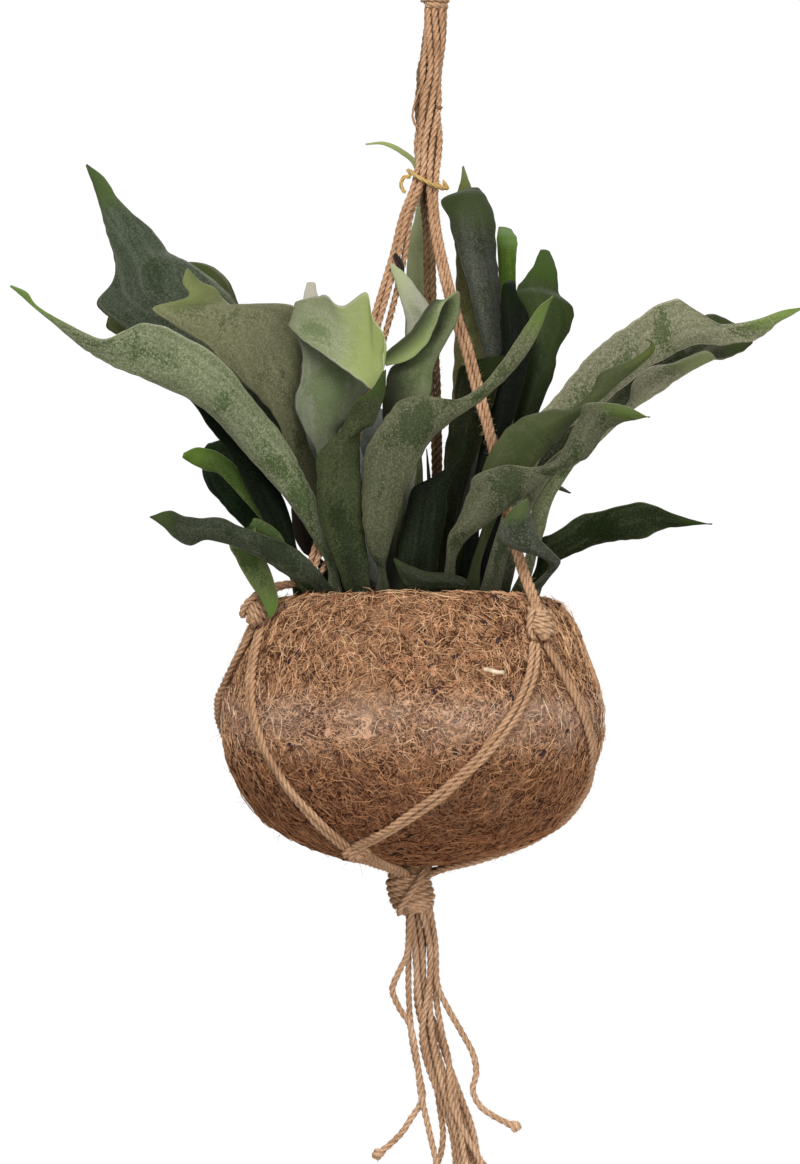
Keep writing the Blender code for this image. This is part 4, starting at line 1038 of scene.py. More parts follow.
def net_run(name, side, towards, mat, settings):
    """The two strands of the net from this side's knot to this crossing and on under the pot."""
    azimuth, low = CROSSINGS[name]
    start, high = UPPER_KNOTS[side]
    start += 360 if abs(start - azimuth) > 180 else 0
    aside = 2.5 if azimuth > start else -2.5
    line, normals = net_line(start + aside, high - KNOT_HEIGHT / 2 + 1, azimuth - aside * 0.8, low,
                             (name, side) == ("front", "right"))
    more, more_normals = under_pot(azimuth - aside * 1.6, low, 9.0 if side == towards[0] else 7.5)
    run = f"net_{name}_from_{side}"
    routes = pair_routes(line + more, np.array(normals + more_normals), azimuth)
    return [make_strand(f"{run}_strand_{k + 1}", route, mat, settings, (run,) if k == 0 else (), seed=azimuth + k)[0]
            for k, route in enumerate(routes)]


def make_hanger(settings):
    jute = jute_material("jute_rope", (0.125, 0.058, 0.028), settings.rope_colour, (0.84, 0.56, 0.36))
    knots = jute_material("jute_knots", (0.15, 0.074, 0.038), settings.knot_colour, (0.86, 0.60, 0.40))
    # jute_shaded is the same jute darkened as painted shade, for strands that lie in shadow
    shaded = jute_material("jute_shaded", (0.060, 0.030, 0.015), (0.20, 0.115, 0.056), (0.40, 0.26, 0.15))
    reach = LOOP_CORD / 2 + 10.0
    eye = [(reach * sin(radians(a)), 0.0, -10.0 + reach * cos(radians(a))) for a in range(100, -101, -20)]
    loop = [(3.4, 0, TOP_KNOT_Z - 2), (4.2, 0, -42), (7.8, 0, -28), *eye, (-7.8, 0, -28), (-4.2, 0, -42),
            (-3.4, 0, TOP_KNOT_Z - 2)]
    shell, _ = strand_shell(loop, LOOP_CORD, settings.rope_pitch / MM * 1.4, 0.4)
    ropes = [declare(made("hanging_loop_rope", *shell, jute), ("hanging_loop",))]
    top = np.array((0.3, 0, TOP_KNOT_Z))
    ropes.append(make_knot("top_knot_wraps", ("top_knot",), top, (0.06, 0, 1), 8.6, 4.4, knots, settings, 0.8))
    for side in LEG_STRANDS:
        for place in range(4):
            nodes = (f"leg_{side}",) if place == 0 else ()
            # the back leg's strands wear the painted shade of jute_shaded
            rope, _ = make_strand(f"leg_{side}_strand_{place + 1}", leg_strand_route(side, place),
                                  shaded if side == "back" else jute, settings, nodes, seed=place * 1.7 + len(side))
            ropes.append(rope)
        centre, axis = upper_knot(side)
        ropes.append(make_knot(f"upper_knot_{side}_wraps", (f"upper_knot_{side}",), centre, axis,
                               KNOT_RADIUS + 0.6, 4.2, knots, settings, len(side), 0.85, 0.42,
                               ((-1.9, 1.6), (-1.2, -1.5), (0.6, 1.5))))
    for name, towards in (("front", ("left", "right")), ("right", ("right", "back")), ("back", ("back", "left"))):
        for side in towards:
            ropes += net_run(name, side, towards, jute, settings)
    middle = np.array((GATHER_X, 0, (GATHER_TOP_Z + GATHER_FOOT_Z) / 2 - 0.5))
    ropes.append(make_knot("gathering_knot_wraps", ("gathering_knot",), middle, (-0.26, 0.0, 1), 13.8, 5.9, jute,
                           settings, 1.1, 0.95, 0.07, ((1.6, 1.8),), 0.36))
    # the throat under the gathering knot wears the painted shade of jute_shaded
    core("gathering_throat", (GATHER_X + 1.5, 0, -559.0), (0, 0, 1), 11.0, 13.0, shaded)
    azimuth, low = CROSSINGS["front"]
    joint = on_pot(azimuth + 1.5, low - 1.0, 3.6)
    ropes.append(make_knot("net_joint_wraps", (), joint, (0.80, -0.1, -0.55), 6.6, 2.1, jute, settings,
                           0.4, 0.9, 0.5))
    for k, (diameter, route) in enumerate(FRAYS):
        # frayed threads 2 and 3 wear the painted shade of jute_shaded
        rope, _ = make_strand(f"frayed_thread_{k + 1}", route, shaded if k else jute, settings, (), 0.4, diameter)
        ropes.append(rope)
    make_tie(settings)
    return ropes


def make_tie(settings):
    """A thin ochre thread round all the strands, its two ends bent back in small loops."""
    mat = jute_material("ochre_thread", (0.22, 0.12, 0.03), settings.tie_colour, (0.80, 0.58, 0.26))
    ring = [(-4.6 + 9.6 * sin(radians(a)), 0.2 - 9.4 * cos(radians(a)),
             TIE_Z - 5.0 * sin(radians(a)) - 2.2 * max(0.0, cos(radians(a)))) for a in range(-96, 265, 12)]
    left = [(-16.6, -3.0, -169.6), (-18.4, -3.2, -168.4), (-19.4, -3.6, -164.4), (-17.6, -3.6, -161.0),
            (-14.6, -3.0, -160.5)]
    right = [(5.8, -4.0, -167.2), (5.9, -5.2, -165.0), (4.8, -5.4, -162.6)]
    shell, _ = strand_shell(left + ring + right, 2.5, 16.0, 0.2, step=0.5)
    declare(made("binding_tie_thread", *shell, mat), ("binding_tie",))


def hang_cord(rope, path):
    """Gives the rope back."""
    return rope


def make_tassel(settings):
    """Four loose strands, and eight that weave round each other down the tassel's middle."""
    jute = jute_material("jute_tassel", (0.14, 0.068, 0.034), settings.tassel_colour, (0.90, 0.64, 0.43))
    ropes = [hang_cord(*make_strand(name + "_rope", route, jute, settings, (name,), taper=0.85, seed=i))
             for i, (name, route) in enumerate(TASSEL.items())]
    middle = smooth(TASSEL_BUNDLE, 6)
    s = distances(middle) / distances(middle)[-1]
    for i, (x0, y0, x1, y1) in enumerate(BUNDLE_STRANDS):
        turn = 1.25 * np.sin(s * 5.2 + 0.4) + 0.5 * np.sin(s * 9.0 + i)
        x, y = 0.88 * (x0 + (x1 - x0) * s), 0.88 * (y0 + (y1 - y0) * s)
        sway = 1.0 * np.sin(s * 11.0 + i * 1.9) * s
        shift = np.column_stack((x * np.cos(turn) - y * np.sin(turn) + sway, x * np.sin(turn) + y * np.cos(turn),
                                 np.zeros_like(s)))
        end = 1.0 - 0.012 * ((i * 5) % 4)
        route = (middle + shift)[: max(2, int(len(s) * end))]
        nodes = ("tassel_bundle",) if i == 0 else ()
        ropes.append(hang_cord(*make_strand(f"tassel_bundle_strand_{i + 1}", route[::2], jute, settings, nodes,
                                            0.45, seed=3.1 * i)))
    return ropes


def make_hairs(settings, ropes_by_group):
    """Stray jute hairs that stand off the strands, one piece for each group of ropes."""
    mat = bpy.data.materials.get("jute_hair")
    if mat is None:
        mat = fibre_material("jute_hair", (0.30, 0.19, 0.10), (0.72, 0.54, 0.35))
    for group, ropes in ropes_by_group.items():
        ground = joined("hair_ground", ropes)
        area = sum(face.area for face in ground.data.polygons)
        hairs = scattered(f"jute_hairs_{group}", ground, hair_shapes("hair_shape", 3.4, 0.2, False, spans=3),
                          settings.hair_density * area, 11, 0.35, 1.0, 1.15, mat)
        dropped(ground)
        declare(hairs, ())


# ---------------------------------------------------------------- the pot and its mix


def pot_surface(settings):
    """The pot's felt: both walls and the rim in one skin, lumpy outside. Third comes how many verts are outside."""
    outside = smooth(POT_OUTER + ((10.0, -557.0), (0.5, -557.2)), 9)[::-1]
    inside = smooth(((0.5, POT_FOOT_Z + POT_WALL), *reversed(POT_INNER)), 3)[::-1]
    profile = np.vstack((outside, (POT_INNER[0][0] + 1.2, -402.8), inside))
    normal = unit(np.column_stack((np.gradient(profile[:, 1]), -np.gradient(profile[:, 0]))))
    sides = 340
    verts = []
    for (radius, z), (nr, nz) in zip(profile, normal):
        lumps = settings.pot_lumps * min(1.0, radius / 30.0)
        near_rim = min(1.0, max(0.0, (z + 446.0) / 38.0)) ** 2
        for a in full_turn(sides):
            at = (radius * cos(a), radius * sin(a), z)
            lump = 1.5 * wobble(at, 0.028, 3.0) + 0.8 * wobble(at, 0.11, 9.0) + 0.45 * wobble(at, 0.45, 4.0)
            lump = lump * lumps + 3.0 * exp(-((a * 57.3 - 80.0) / 7.0) ** 2 - ((z + 538.0) / 6.0) ** 2)
            r = radius + nr * lump
            sag = near_rim * (1.6 - 7.0 * min(1.0, 1 - cos(a)) ** 1.4)
            verts.append((POT_AXIS_X + r * sin(a), -r * cos(a), z + nz * lump * 0.8 + sag))
    quads = ring_quads(len(profile), sides)[2].tolist()
    return np.array(verts), quads + ring_ends(len(profile), sides), len(outside) * sides


# Loose fibres on the felt: name, share of the fibre count, length, thickness, dark and light colour, lean,
# whether they lie, and whether they leave the pale band bare
COIR_KINDS = (
    ("coir_fibres_fine", 0.95, 15.0, 0.42, (0.34, 0.160, 0.075), (0.86, 0.51, 0.28), 0.10, True, False),
    ("coir_fibres_curly", 0.9, 13.0, 0.48, (0.38, 0.188, 0.092), (0.92, 0.57, 0.325), 0.10, True, True),
    ("coir_fibres_tan", 0.85, 19.0, 0.56, (0.40, 0.200, 0.100), (0.90, 0.58, 0.34), 0.08, True, True),
    ("coir_fibres_dark", 0.85, 13.0, 0.60, (0.045, 0.016, 0.010), (0.20, 0.075, 0.036), 0.10, True, True),
    ("coir_fibres_pale", 0.24, 15.0, 0.44, (0.50, 0.33, 0.18), (0.92, 0.70, 0.47), 0.13, True, False),
    ("coir_dark_bits", 0.022, 5.0, 2.5, (0.022, 0.012, 0.016), (0.070, 0.038, 0.040), 0.15, True, False),
    ("coir_stray_hairs", 0.12, 9.0, 0.22, (0.30, 0.16, 0.08), (0.66, 0.42, 0.25), 1.15, False, False),
)


def off_band(place):
    """True where a fibre may lie outside the pale band."""
    return not BAND_LOW < place[2] + 3 * wobble(place, 0.05, 1.0) < BAND_HIGH


def make_pot(settings):
    verts, faces, outer = pot_surface(settings)
    declare(made("coir_pot_felt", verts, faces, mat=coir_material(settings.coir_colour)), ("coir_pot",))
    outside = [face for face in faces[:-2] if max(face) < outer]
    ground = made("fibre_ground", verts[:outer], outside)
    part_ground = made("fibre_ground_off_band", verts[:outer], [f for f in outside if off_band(verts[f[0]])])
    whole = sum(face.area for face in ground.data.polygons)
    part = sum(face.area for face in part_ground.data.polygons)
    for seed, (name, share, length, thick, dark, light, lean, lying, bare) in enumerate(COIR_KINDS, start=1):
        count = settings.fibre_count * share * (part / whole if bare else 1.0)
        # the last colour given to fibre_material is the painted shade at the pot's foot
        fibres = scattered(name, part_ground if bare else ground, hair_shapes(f"shape_{name}", length, thick, lying),
                           count, seed, 0.45, 1.15, lean, fibre_material(name, dark, light, (0.46, 0.32, 0.24)))
        declare(fibres, ())
    dropped(ground, part_ground)
    straw = np.array([on_pot(22.0 + 0.95 * k, -444.0 - 0.28 * k + 0.3 * sin(k), 1.1) for k in range(8)])
    flat = np.tile(np.array((1.5, 0.8, 1.3, 0.9)) * 0.95, (8, 1))
    pale = fibre_material("coir_straw", (0.55, 0.41, 0.27), (0.86, 0.72, 0.55))
    declare(made("coir_straw_bit", *tube_shell(straw, flat, full_turn(4, 8)), pale), ())


def crumb_shapes():
    """Four small lumps of bark, from round to flat."""
    chips = []
    for k in range(4):
        bpy.ops.mesh.primitive_ico_sphere_add(subdivisions=1, radius=2.0 * MM)
        chip = bpy.context.object
        for v in chip.data.vertices:
            v.co *= 1 + 0.35 * wobble(v.co / MM, 0.6, k + 1.0)
            v.co.x, v.co.y, v.co.z = v.co.x * 1.3, v.co.y * (0.8 - 0.1 * k), v.co.z * (0.5 + 0.1 * k)
        chips.append(chip)
    return shape_collection("chip_shapes", chips)


def make_mix(settings):
    """A low mound of crumbs that closes the pot, skinned down to the pot's inner foot."""
    crumbs = crumb_material()
    sides, rings_on_top = 120, 40
    wall = [(r - 1.5, z) for r, z in POT_INNER if z < POT_INNER[0][1] - 5]
    rings = [(float(r), None) for r in np.linspace(74.0, 0.6, rings_on_top)[::-1]]
    rings += wall + [(1.0, POT_FOOT_Z + POT_WALL + 2.0)]
    verts = []
    for radius, z in rings:
        for j in range(sides):
            a = 2 * pi * j / sides
            x, y = POT_AXIS_X + radius * sin(a), -radius * cos(a)
            height = z
            if z is None:
                lump = 2.2 * wobble((x, y, 0), 0.07, 2.0) + 1.6 * wobble((x, y, 0), 0.25, 5.0)
                height = crown_height(x, y) + lump - 0.6 + 8.0 * max(0.0, 1 - (radius / 62.0) ** 2)
            verts.append((x, y, height))
    quads = ring_quads(len(rings), sides)[2][:, [0, 3, 2, 1]].tolist()
    ends = [end[::-1] for end in ring_ends(len(rings), sides)]
    declare(made("potting_mix_crumbs", verts, quads + ends, mat=crumbs), ("potting_mix",))
    ground = made("chip_ground", verts, [f for f in quads if max(f) < (rings_on_top - 4) * sides])
    chips = scattered("potting_chips", ground, crumb_shapes(), settings.chip_count, 4, 0.4, 1.3, 0.8, crumbs)
    dropped(ground)
    declare(chips, ())


# ---------------------------------------------------------------- the fronds

# How much deeper or paler each frond is than its kind: partly its own colour, partly painted shade and light
FROND_TINTS_AND_SHADE = {
    "frond_back_tip": (0.79, 0.47, 0.43), "frond_behind_ropes": (0.63, 0.63, 0.45),
    "frond_centre_dark": (0.15, 0.17, 0.12), "frond_centre_upper": (0.18, 0.17, 0.09),
    "frond_curled_pale": (0.22, 0.23, 0.16), "frond_dark_behind": (0.08, 0.09, 0.07),
    "frond_dark_strap_left": (0.08, 0.11, 0.07), "frond_far_left_strap": (0.84, 0.83, 0.68),
    "frond_folded_fan": (0.73, 0.62, 0.81), "frond_front_right_twist": (0.45, 0.41, 0.34),
    "frond_front_sweep": (0.54, 0.5, 0.39), "frond_front_upright": (0.21, 0.23, 0.12),
    "frond_green_s_tip": (0.25, 0.23, 0.17), "frond_green_strap": (0.47, 0.52, 0.11),
    "frond_left_back_lobed": (0.25, 0.2, 0.13), "frond_left_bright": (0.54, 0.52, 0.27),
    "frond_left_broad": (0.49, 0.48, 0.34), "frond_left_low_strap": (0.31, 0.31, 0.22),
    "frond_left_very_dark": (0.12, 0.2, 0.1), "frond_over_rim": (0.45, 0.4, 0.29),
    "frond_pale_tip": (0.84, 0.76, 0.82), "frond_right_dark": (0.67, 0.59, 0.5),
    "frond_right_green": (0.18, 0.18, 0.08), "frond_right_lobe": (0.94, 0.9, 0.78),
    "frond_right_low_strap": (0.32, 0.35, 0.2), "frond_rim_leaf": (0.17, 0.17, 0.09),
    "frond_small_folded": (0.54, 0.5, 0.45), "frond_strap_right": (0.82, 0.79, 0.6),
    "frond_tall_dark": (0.34, 0.31, 0.28), "frond_upper_left": (0.44, 0.46, 0.35),
    "frond_upper_right_long": (1.01, 0.89, 0.79), "frond_beige_tip": (1.0, 1.33, 1.57),
    "old_shield_frond": (0.2, 0.16, 0.1),
}
PLAIN_TINT_AND_SHADE = (0.3, 0.3, 0.28)

# Further painted shade and light on each of these: its left and right side, then its foot and tip
SHADES = {
    "frond_curled_pale": (0.45, 1.9, 0.7, 1.2), "frond_right_green": (1.0, 1.0, 0.15, 1.3),
    "frond_behind_ropes": (1.0, 1.0, 0.7, 1.1), "frond_tall_dark": (1.3, 0.8, 0.9, 1.1),
    "frond_front_sweep": (1.0, 1.0, 0.85, 1.15), "frond_folded_fan": (1.0, 1.0, 0.7, 1.2),
    "frond_left_broad": (1.15, 0.9, 0.4, 1.45), "frond_upper_left": (0.95, 1.1, 0.9, 1.0),
}

# Young shoots, and a withered scale caught on the left leg: half widths, then places up the middle
SMALL_BITS = (
    ("pale", (0.9, 1.1, 0.9, 0.3), ((8.5, -6, -404), (8.6, -7, -380), (8.2, -8, -360), (7.6, -8, -344))),
    ("grey", (1.2, 1.5, 1.3, 0.3), ((0, 4, -404), (-2, 3, -370), (-3, 2, -340), (-4.6, 2, -318))),
    ("pale", (1.3, 1.6, 1.9, 0.4), ((11, 8, -404), (12, 8, -365), (12.6, 8, -330), (13.4, 8, -307))),
    ("brown", (0.5, 2.2, 1.8, 0.4), ((-22.8, -14, -206), (-21.6, -14.6, -209.5), (-19.4, -14.4, -214),
                                     (-18.2, -13.6, -218.5))),
)


def foot_row(x, y, half_width=6.0):
    """A frond's lowest row, sunk a little into the potting mix."""
    left, right = (np.array((at, y, crown_height(at, y) - 1.5)) for at in (x - half_width, x + half_width))
    return left, right, 0.0


def drawn_edges(base, lean, rows):
    """A frond's rows as (left, right, bulge), from its front elevation; lean takes its tip back."""
    edges = [foot_row(*base)]
    for i, (x_left, z_left, x_right, z_right, depth, tilt, bulge) in enumerate(rows, start=1):
        y = depth + lean * (i / len(rows)) ** 2
        edges.append((drawn(x_left, y - tilt / 2, z_left), drawn(x_right, y + tilt / 2, z_right), bulge))
    return edges


def back_edges(azimuth, reach, rise, half_width):
    """The rows of a frond that arches outward from the back of the crown."""
    start = round_pot(BACK_FOOT_RADIUS, azimuth, 0)
    edges = [foot_row(start[0], start[1])]
    angle = radians(azimuth)
    outward = np.array((sin(angle), -cos(angle), 0))
    sideways = np.array((cos(angle), sin(angle), 0))
    if sideways[0] < 0:
        sideways = -sideways
    for k in range(1, 9):
        t = k / 8
        place = np.array((start[0], start[1], -400.0)) + outward * reach * t ** 1.3
        place[2] += rise * sin(t * 1.9)
        width = 0.6 if k == 8 else 3.0 + (half_width - 3.0) * sin(min(1.0, t * 1.25) * 3.0) ** 1.2
        edges.append((place - sideways * width, place + sideways * width, 3.0 * sin(t * 3.0)))
    return edges


def blade_ends(stations, around, across):
    """Faces that close a blade's foot and tip, each between a point in front and the one behind it."""
    ends = []
    for base, turned_over in ((0, True), ((stations - 1) * around, False)):
        for a in range(across - 1):
            b = a + 1
            corners = list(dict.fromkeys((base + a, base + b, base + (around - b) % around,
                                          base + (around - a) % around)))
            if len(corners) > 2:
                ends.append(corners[::-1] if turned_over else corners)
    return ends


def blade_lift(middle, s, v, width, bulge, settings, seed):
    """How far each point of a blade stands off its flat rows: bulge, waves, ripples and midrib."""
    grow = np.clip(width / 22.0, 0, 1)
    wave = (np.sin(s[:, None] / 8.5 + seed + 0.8 * v[None, :]) * np.abs(v)[None, :] ** 2.2 * 1.1
            + np.sin(s[:, None] / 19.0 + 2.3 * seed) * v[None, :] * 0.9)
    rib = 0.55 * np.exp(-(v[None, :] / 0.07) ** 2) * np.exp(-s[:, None] / max(60.0, s[-1] * 0.55))
    low, mid, high = np.array([[wobble(m + (0, 0, 40 * c), 0.045, seed) for c in (-1, 0, 1)] for m in middle]).T
    ripple = (low[:, None] * (v < 0) * np.abs(v) + mid[:, None] * (1 - np.abs(v))
              + high[:, None] * (v > 0) * np.abs(v))
    return bulge[:, None] * (1 - v ** 2)[None, :] + settings.frond_wave * grow[:, None] * (wave + 1.6 * ripple) + rib


def make_frond(name, node, edges, mat, settings, seed):
    """A leathery blade with rounded, slightly nicked edges, a soft midrib and a little waviness."""
    rows = np.array([np.concatenate((left, right, (bulge,))) for left, right, bulge in edges])
    spans = np.linalg.norm(np.diff((rows[:, :3] + rows[:, 3:6]) / 2, axis=0), axis=1)
    fine = smooth(rows, max(4, round(float(spans.mean()) / (settings.frond_step / MM))))
    left, right, bulge = fine[:, :3], fine[:, 3:6], fine[:, 6]
    middle = (left + right) / 2
    s = distances(middle)
    width = np.linalg.norm(right - left, axis=1)
    normal = unit(np.cross(right - left, unit(np.gradient(middle, axis=0))))
    for i in range(1, len(normal)):
        if width[i] < 1.0:
            normal[i] = normal[i - 1]
    across = settings.frond_across
    v = np.linspace(-1, 1, across)
    v = np.sign(v) * (1 - (1 - np.abs(v)) ** 1.25)
    lift = blade_lift(middle, s, v, width, bulge, settings, seed)
    nick = np.array([[wobble(m, 0.16, seed + 3), wobble(m, 0.16, seed + 8)] for m in middle]) * 0.9
    nick *= np.clip(width / 22.0, 0, 1)[:, None]
    half = 0.5 * (right - left)
    centre = middle[:, None, :] + half[:, None, :] * v[None, :, None] + normal[:, None, :] * lift[..., None]
    centre += unit(half)[:, None, :] * (np.where(v < 0, nick[:, :1], nick[:, 1:]) * v[None, :])[..., None]
    thick = 0.5 * settings.frond_thickness / MM * np.clip(0.35 + width / 10.0, 0.35, 1.0)
    depth = normal[:, None, :] * (thick[:, None] * np.sqrt(np.clip(1 - v ** 8, 0.0, 1))[None, :])[..., None]
    ring = np.concatenate((centre + depth, (centre - depth)[:, -2:0:-1]), axis=1)
    stations, around = ring.shape[:2]
    faces = ring_quads(stations, around)[2].tolist() + blade_ends(stations, around, across)
    position = np.concatenate((v, v[-2:0:-1]))
    flat = np.stack((position[None, :] * width[:, None] / 2 * MM, np.repeat(s[:, None] * MM, around, axis=1)),
                    axis=-1).reshape(-1, 2)
    obj = made(name, ring.reshape(-1, 3), faces, flat[np.concatenate(faces)], mat)
    share = s / s[-1]
    facts = {
        "along": np.repeat(share, around),
        "across": np.tile(np.abs(position), stations),
        "side": np.tile(np.arange(around) >= across, stations)}
    for label, values in facts.items():
        found = obj.data.attributes.new(label, "FLOAT", "POINT")
        found.data.foreach_set("value", values.astype(np.float32))
    # painted shade and light across and along the blade
    left_share, right_share, foot_share, tip_share = SHADES.get(node, (1.0, 1.0, 1.0, 1.0))
    shade_over = left_share + (right_share - left_share) * np.clip((position + 0.6) / 1.2, 0, 1)
    shade_down = foot_share + (tip_share - foot_share) * np.clip(share * 1.5 - 0.4, 0, 1)
    shade = (shade_down[:, None] * shade_over[None, :]).reshape(-1, 1)
    # each frond's tint carries its colour change and its painted shade and light
    tint = np.hstack((shade * np.array(FROND_TINTS_AND_SHADE.get(node, PLAIN_TINT_AND_SHADE)), np.ones_like(shade)))
    found = obj.data.attributes.new("tint", "FLOAT_COLOR", "POINT")
    found.data.foreach_set("color", tint.astype(np.float32).ravel())
    return declare(obj, (node,) if node else ())


def make_fronds(settings):
    mats = {kind: leaf_material("leaf_" + kind, *colours, settings.frond_wear, 0.05 if kind == "dark" else 0.16)
            for kind, colours in LEAVES.items()}
    for i, (name, (kind, base, lean, rows)) in enumerate(FRONDS.items()):
        make_frond(name + "_blade", name, drawn_edges(base, lean, rows), mats[kind],
                   settings, i * 1.37)
    for i, (kind, width, places) in enumerate(SMALL_BITS):
        edges = [(np.array((x - w, y, z)), np.array((x + w, y, z + 0.4)), 0.3)
                 for (x, y, z), w in zip(places, width)]
        make_frond(f"small_bit_{i + 1}", None, edges, mats[kind], settings, 80 + i)
    for i, (name, shape) in enumerate(BACK_FRONDS.items()):
        make_frond(name + "_blade", name, back_edges(*shape), mats["grey"], settings, 50 + i)


# ---------------------------------------------------------------- the stage


def dome(radius, rows=16, sides=32):
    """Verts and faces of a ball seen from inside."""
    verts = [(radius * sin(tall) * cos(turn), radius * sin(tall) * sin(turn), radius * cos(tall))
             for tall in (pi * r / rows for r in range(rows + 1)) for turn in full_turn(sides)]
    return verts, ring_quads(rows + 1, sides)[2].tolist()


def make_stage(settings):
    scene = bpy.context.scene
    data = bpy.data.cameras.new("camera")
    camera = placed("camera", data)
    camera.location = (VIEW_X * MM, -VIEW_DISTANCE * MM, VIEW_Z * MM)
    camera.rotation_euler = (pi / 2, 0, 0)
    data.sensor_fit = "VERTICAL"
    data.sensor_height = 36.0
    data.lens = data.sensor_height * VIEW_DISTANCE / (settings.view_height / MM)
    data.clip_end = 50.0
    scene.camera = camera
    for name, place, size, share in (
            ("key_light", (-0.5, -1.6, 1.05), 0.9, 1.0),
            ("fill_light", (0.7, -1.9, -0.45), 1.2, 0.5),
            ("rim_light", (0.3, 1.3, 1.3), 1.0, 0.5)):
        lamp = bpy.data.lights.new(name, "AREA")
        lamp.size = size
        lamp.energy = settings.key_power * share
        light = placed(name, lamp)
        light.location = place
        aim = Vector((0, 0, VIEW_Z * MM)) - light.location
        light.rotation_euler = aim.to_track_quat("-Z", "Y").to_euler()
    world = bpy.data.worlds.new("studio")
    scene.world = world
    world.use_nodes = True
    background = world.node_tree.nodes["Background"]
    background.inputs["Color"].default_value = (1.0, 1.0, 1.0, 1)
    background.inputs["Strength"].default_value = settings.world_light
    scene.view_settings.view_transform = "Standard"
    scene.view_settings.look = "None"
    pale = new_material("pale_floor", 0.9)
    w = Wiring(pale)
    w.colour(w.ramp(w.noise(w.objects(), 2.0, 2, 0.5), (0.3, (0.93, 0.93, 0.93)), (0.7, (0.96, 0.96, 0.96))))
    far, down = 5000, -2000
    floor = made("floor", [(-far, -far, down), (far, -far, down), (far, far, down), (-far, far, down)],
                 [[0, 1, 2, 3]], mat=pale)
    glow = new_material("white_backdrop", 0.5, 0.5)
    shader = glow.node_tree.nodes["Principled BSDF"]
    shader.inputs["Base Color"].default_value = (0.0, 0.0, 0.0, 1)
    shader.inputs["Emission Color"].default_value = (1.0, 1.0, 1.0, 1)
    shader.inputs["Emission Strength"].default_value = 1.0
    backdrop = made("backdrop", *dome(7000.0), mat=glow)
    backdrop.visible_diffuse = backdrop.visible_glossy = False
    backdrop.visible_transmission = backdrop.visible_shadow = False


# ---------------------------------------------------------------- the add-on


def length(name, description, default, low, high):
    """A slider for a length in metres."""
    return bpy.props.FloatProperty(name=name, description=description, default=default, min=low, max=high,
                                   unit="LENGTH", precision=4)


def amount(name, description, default, low, high, **kind):
    return bpy.props.FloatProperty(name=name, description=description, default=default, min=low, max=high, **kind)


def count(name, description, default, low, high):
    return bpy.props.IntProperty(name=name, description=description, default=default, min=low, max=high)


def paint(name, description, default):
    return bpy.props.FloatVectorProperty(name=name, description=description, default=default, min=0.0, max=1.0,
                                         subtype="COLOR")


class FernSettings(bpy.types.PropertyGroup):
    """What the buttons build from."""

    frond_thickness: length("Frond thickness", "Thickness of a frond's blade", 0.0013, 0.0005, 0.003)
    frond_step: length("Frond step", "Distance between the rows of a frond's mesh", 0.0019, 0.001, 0.008)
    frond_across: count("Frond columns", "Points across a frond's blade", 19, 7, 41)
    frond_wave: amount("Frond waviness", "How strongly the blades ripple", 0.8, 0.0, 3.0)
    frond_wear: amount("Rubbed patches", "How much of the grey bloom is rubbed off", 0.5, 0.0, 1.0,
                       subtype="FACTOR")
    rope_pitch: length("Rope lay", "Length of one turn of the three plies", 0.0138, 0.006, 0.04)
    hair_density: amount("Rope hairs", "Stray hairs for each square metre of rope", 130000.0, 0.0, 400000.0)
    rope_colour: paint("Rope colour", "Middle tone of the legs and the net", (0.46, 0.258, 0.140))
    knot_colour: paint("Knot colour", "Middle tone of the upper knots", (0.50, 0.295, 0.165))
    tassel_colour: paint("Tassel colour", "Middle tone of the loose strands", (0.52, 0.305, 0.175))
    tie_colour: paint("Tie colour", "Middle tone of the thread round the legs", (0.55, 0.36, 0.12))
    coir_colour: paint("Felt colour", "Colour of the matted hairs between the loose fibres", (0.52, 0.27, 0.145))
    fibre_count: count("Coir fibres", "Loose fibres of each common kind on the pot", 4900, 100, 5200)
    pot_lumps: amount("Pot lumps", "How uneven the felt is, 1 as on a new pot", 1.0, 0.0, 2.0)
    chip_count: count("Bark chips", "Chips on the potting mix", 1100, 50, 3000)
    key_power: amount("Key light", "Power of the main light", 38.0, 0.0, 400.0, unit="POWER")
    world_light: amount("Room light", "Strength of the even light from all round", 0.42, 0.0, 5.0)
    view_height: length("View height", "Height of the picture at the plant", 0.674, 0.2, 3.0)


class FernStep(bpy.types.Operator):
    """Shared behaviour of the buttons."""

    bl_options = {"REGISTER", "UNDO"}

    def execute(self, context):
        self.build(context.scene.fern)
        return {"FINISHED"}


class FERN_OT_stage(FernStep):
    """Sets the camera, the lights and the floor"""

    bl_idname = "fern.stage"
    bl_label = "Stage"

    def build(self, settings):
        make_stage(settings)


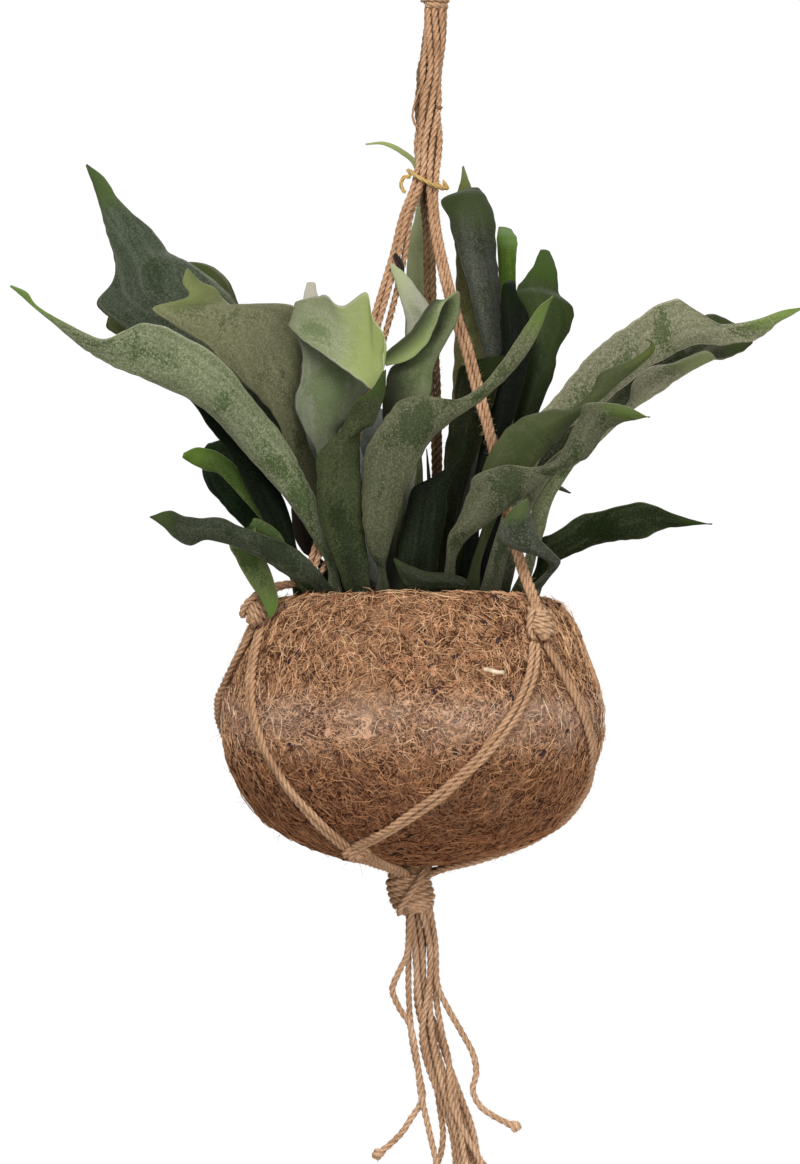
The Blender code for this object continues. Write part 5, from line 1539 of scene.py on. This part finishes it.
class FERN_OT_hanger(FernStep):
    """Lays the loop, the legs, the net, the knots and the tie, with their stray hairs"""

    bl_idname = "fern.hanger"
    bl_label = "Hanger"

    def build(self, settings):
        groups = {"legs": [], "net": [], "knots": []}
        for rope in make_hanger(settings):
            groups[{"leg_": "legs", "net_": "net"}.get(rope.name[:4], "knots")].append(rope)
        make_hairs(settings, groups)


class FERN_OT_tassel(FernStep):
    """Hangs the twelve loose strands under the gathering knot"""

    bl_idname = "fern.tassel"
    bl_label = "Tassel"

    def build(self, settings):
        make_hairs(settings, {"tassel": make_tassel(settings)})


class FERN_OT_pot(FernStep):
    """Felts the coir pot and plants its loose fibres"""

    bl_idname = "fern.pot"
    bl_label = "Coir pot"

    def build(self, settings):
        make_pot(settings)


class FERN_OT_mix(FernStep):
    """Fills the pot with crumbly potting mix"""

    bl_idname = "fern.mix"
    bl_label = "Potting mix"

    def build(self, settings):
        make_mix(settings)


class FERN_OT_fronds(FernStep):
    """Grows every frond"""

    bl_idname = "fern.fronds"
    bl_label = "Fronds"

    def build(self, settings):
        make_fronds(settings)


STEPS = (FERN_OT_stage, FERN_OT_hanger, FERN_OT_tassel, FERN_OT_pot, FERN_OT_mix, FERN_OT_fronds)


class FERN_PT_panel(bpy.types.Panel):
    """The sliders and the buttons"""

    bl_label = "Staghorn Fern"
    bl_idname = "FERN_PT_panel"
    bl_space_type = "VIEW_3D"
    bl_region_type = "UI"
    bl_category = "Fern"

    def draw(self, context):
        settings = context.scene.fern
        column = self.layout.column()
        for name in FernSettings.__annotations__:
            column.prop(settings, name)
        for step in STEPS:
            column.operator(step.bl_idname)


CLASSES = (FernSettings, *STEPS, FERN_PT_panel)


def register():
    for found in CLASSES:
        bpy.utils.register_class(found)
    bpy.types.Scene.fern = bpy.props.PointerProperty(type=FernSettings)


def unregister():
    del bpy.types.Scene.fern
    for found in reversed(CLASSES):
        bpy.utils.unregister_class(found)


def main():
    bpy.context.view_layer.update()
    register()
    for step in STEPS:
        group, name = step.bl_idname.split(".")
        if getattr(getattr(bpy.ops, group), name)() != {"FINISHED"}:
            raise RuntimeError(f"{step.bl_idname} did not finish")


if __name__ == "__main__":
    main()
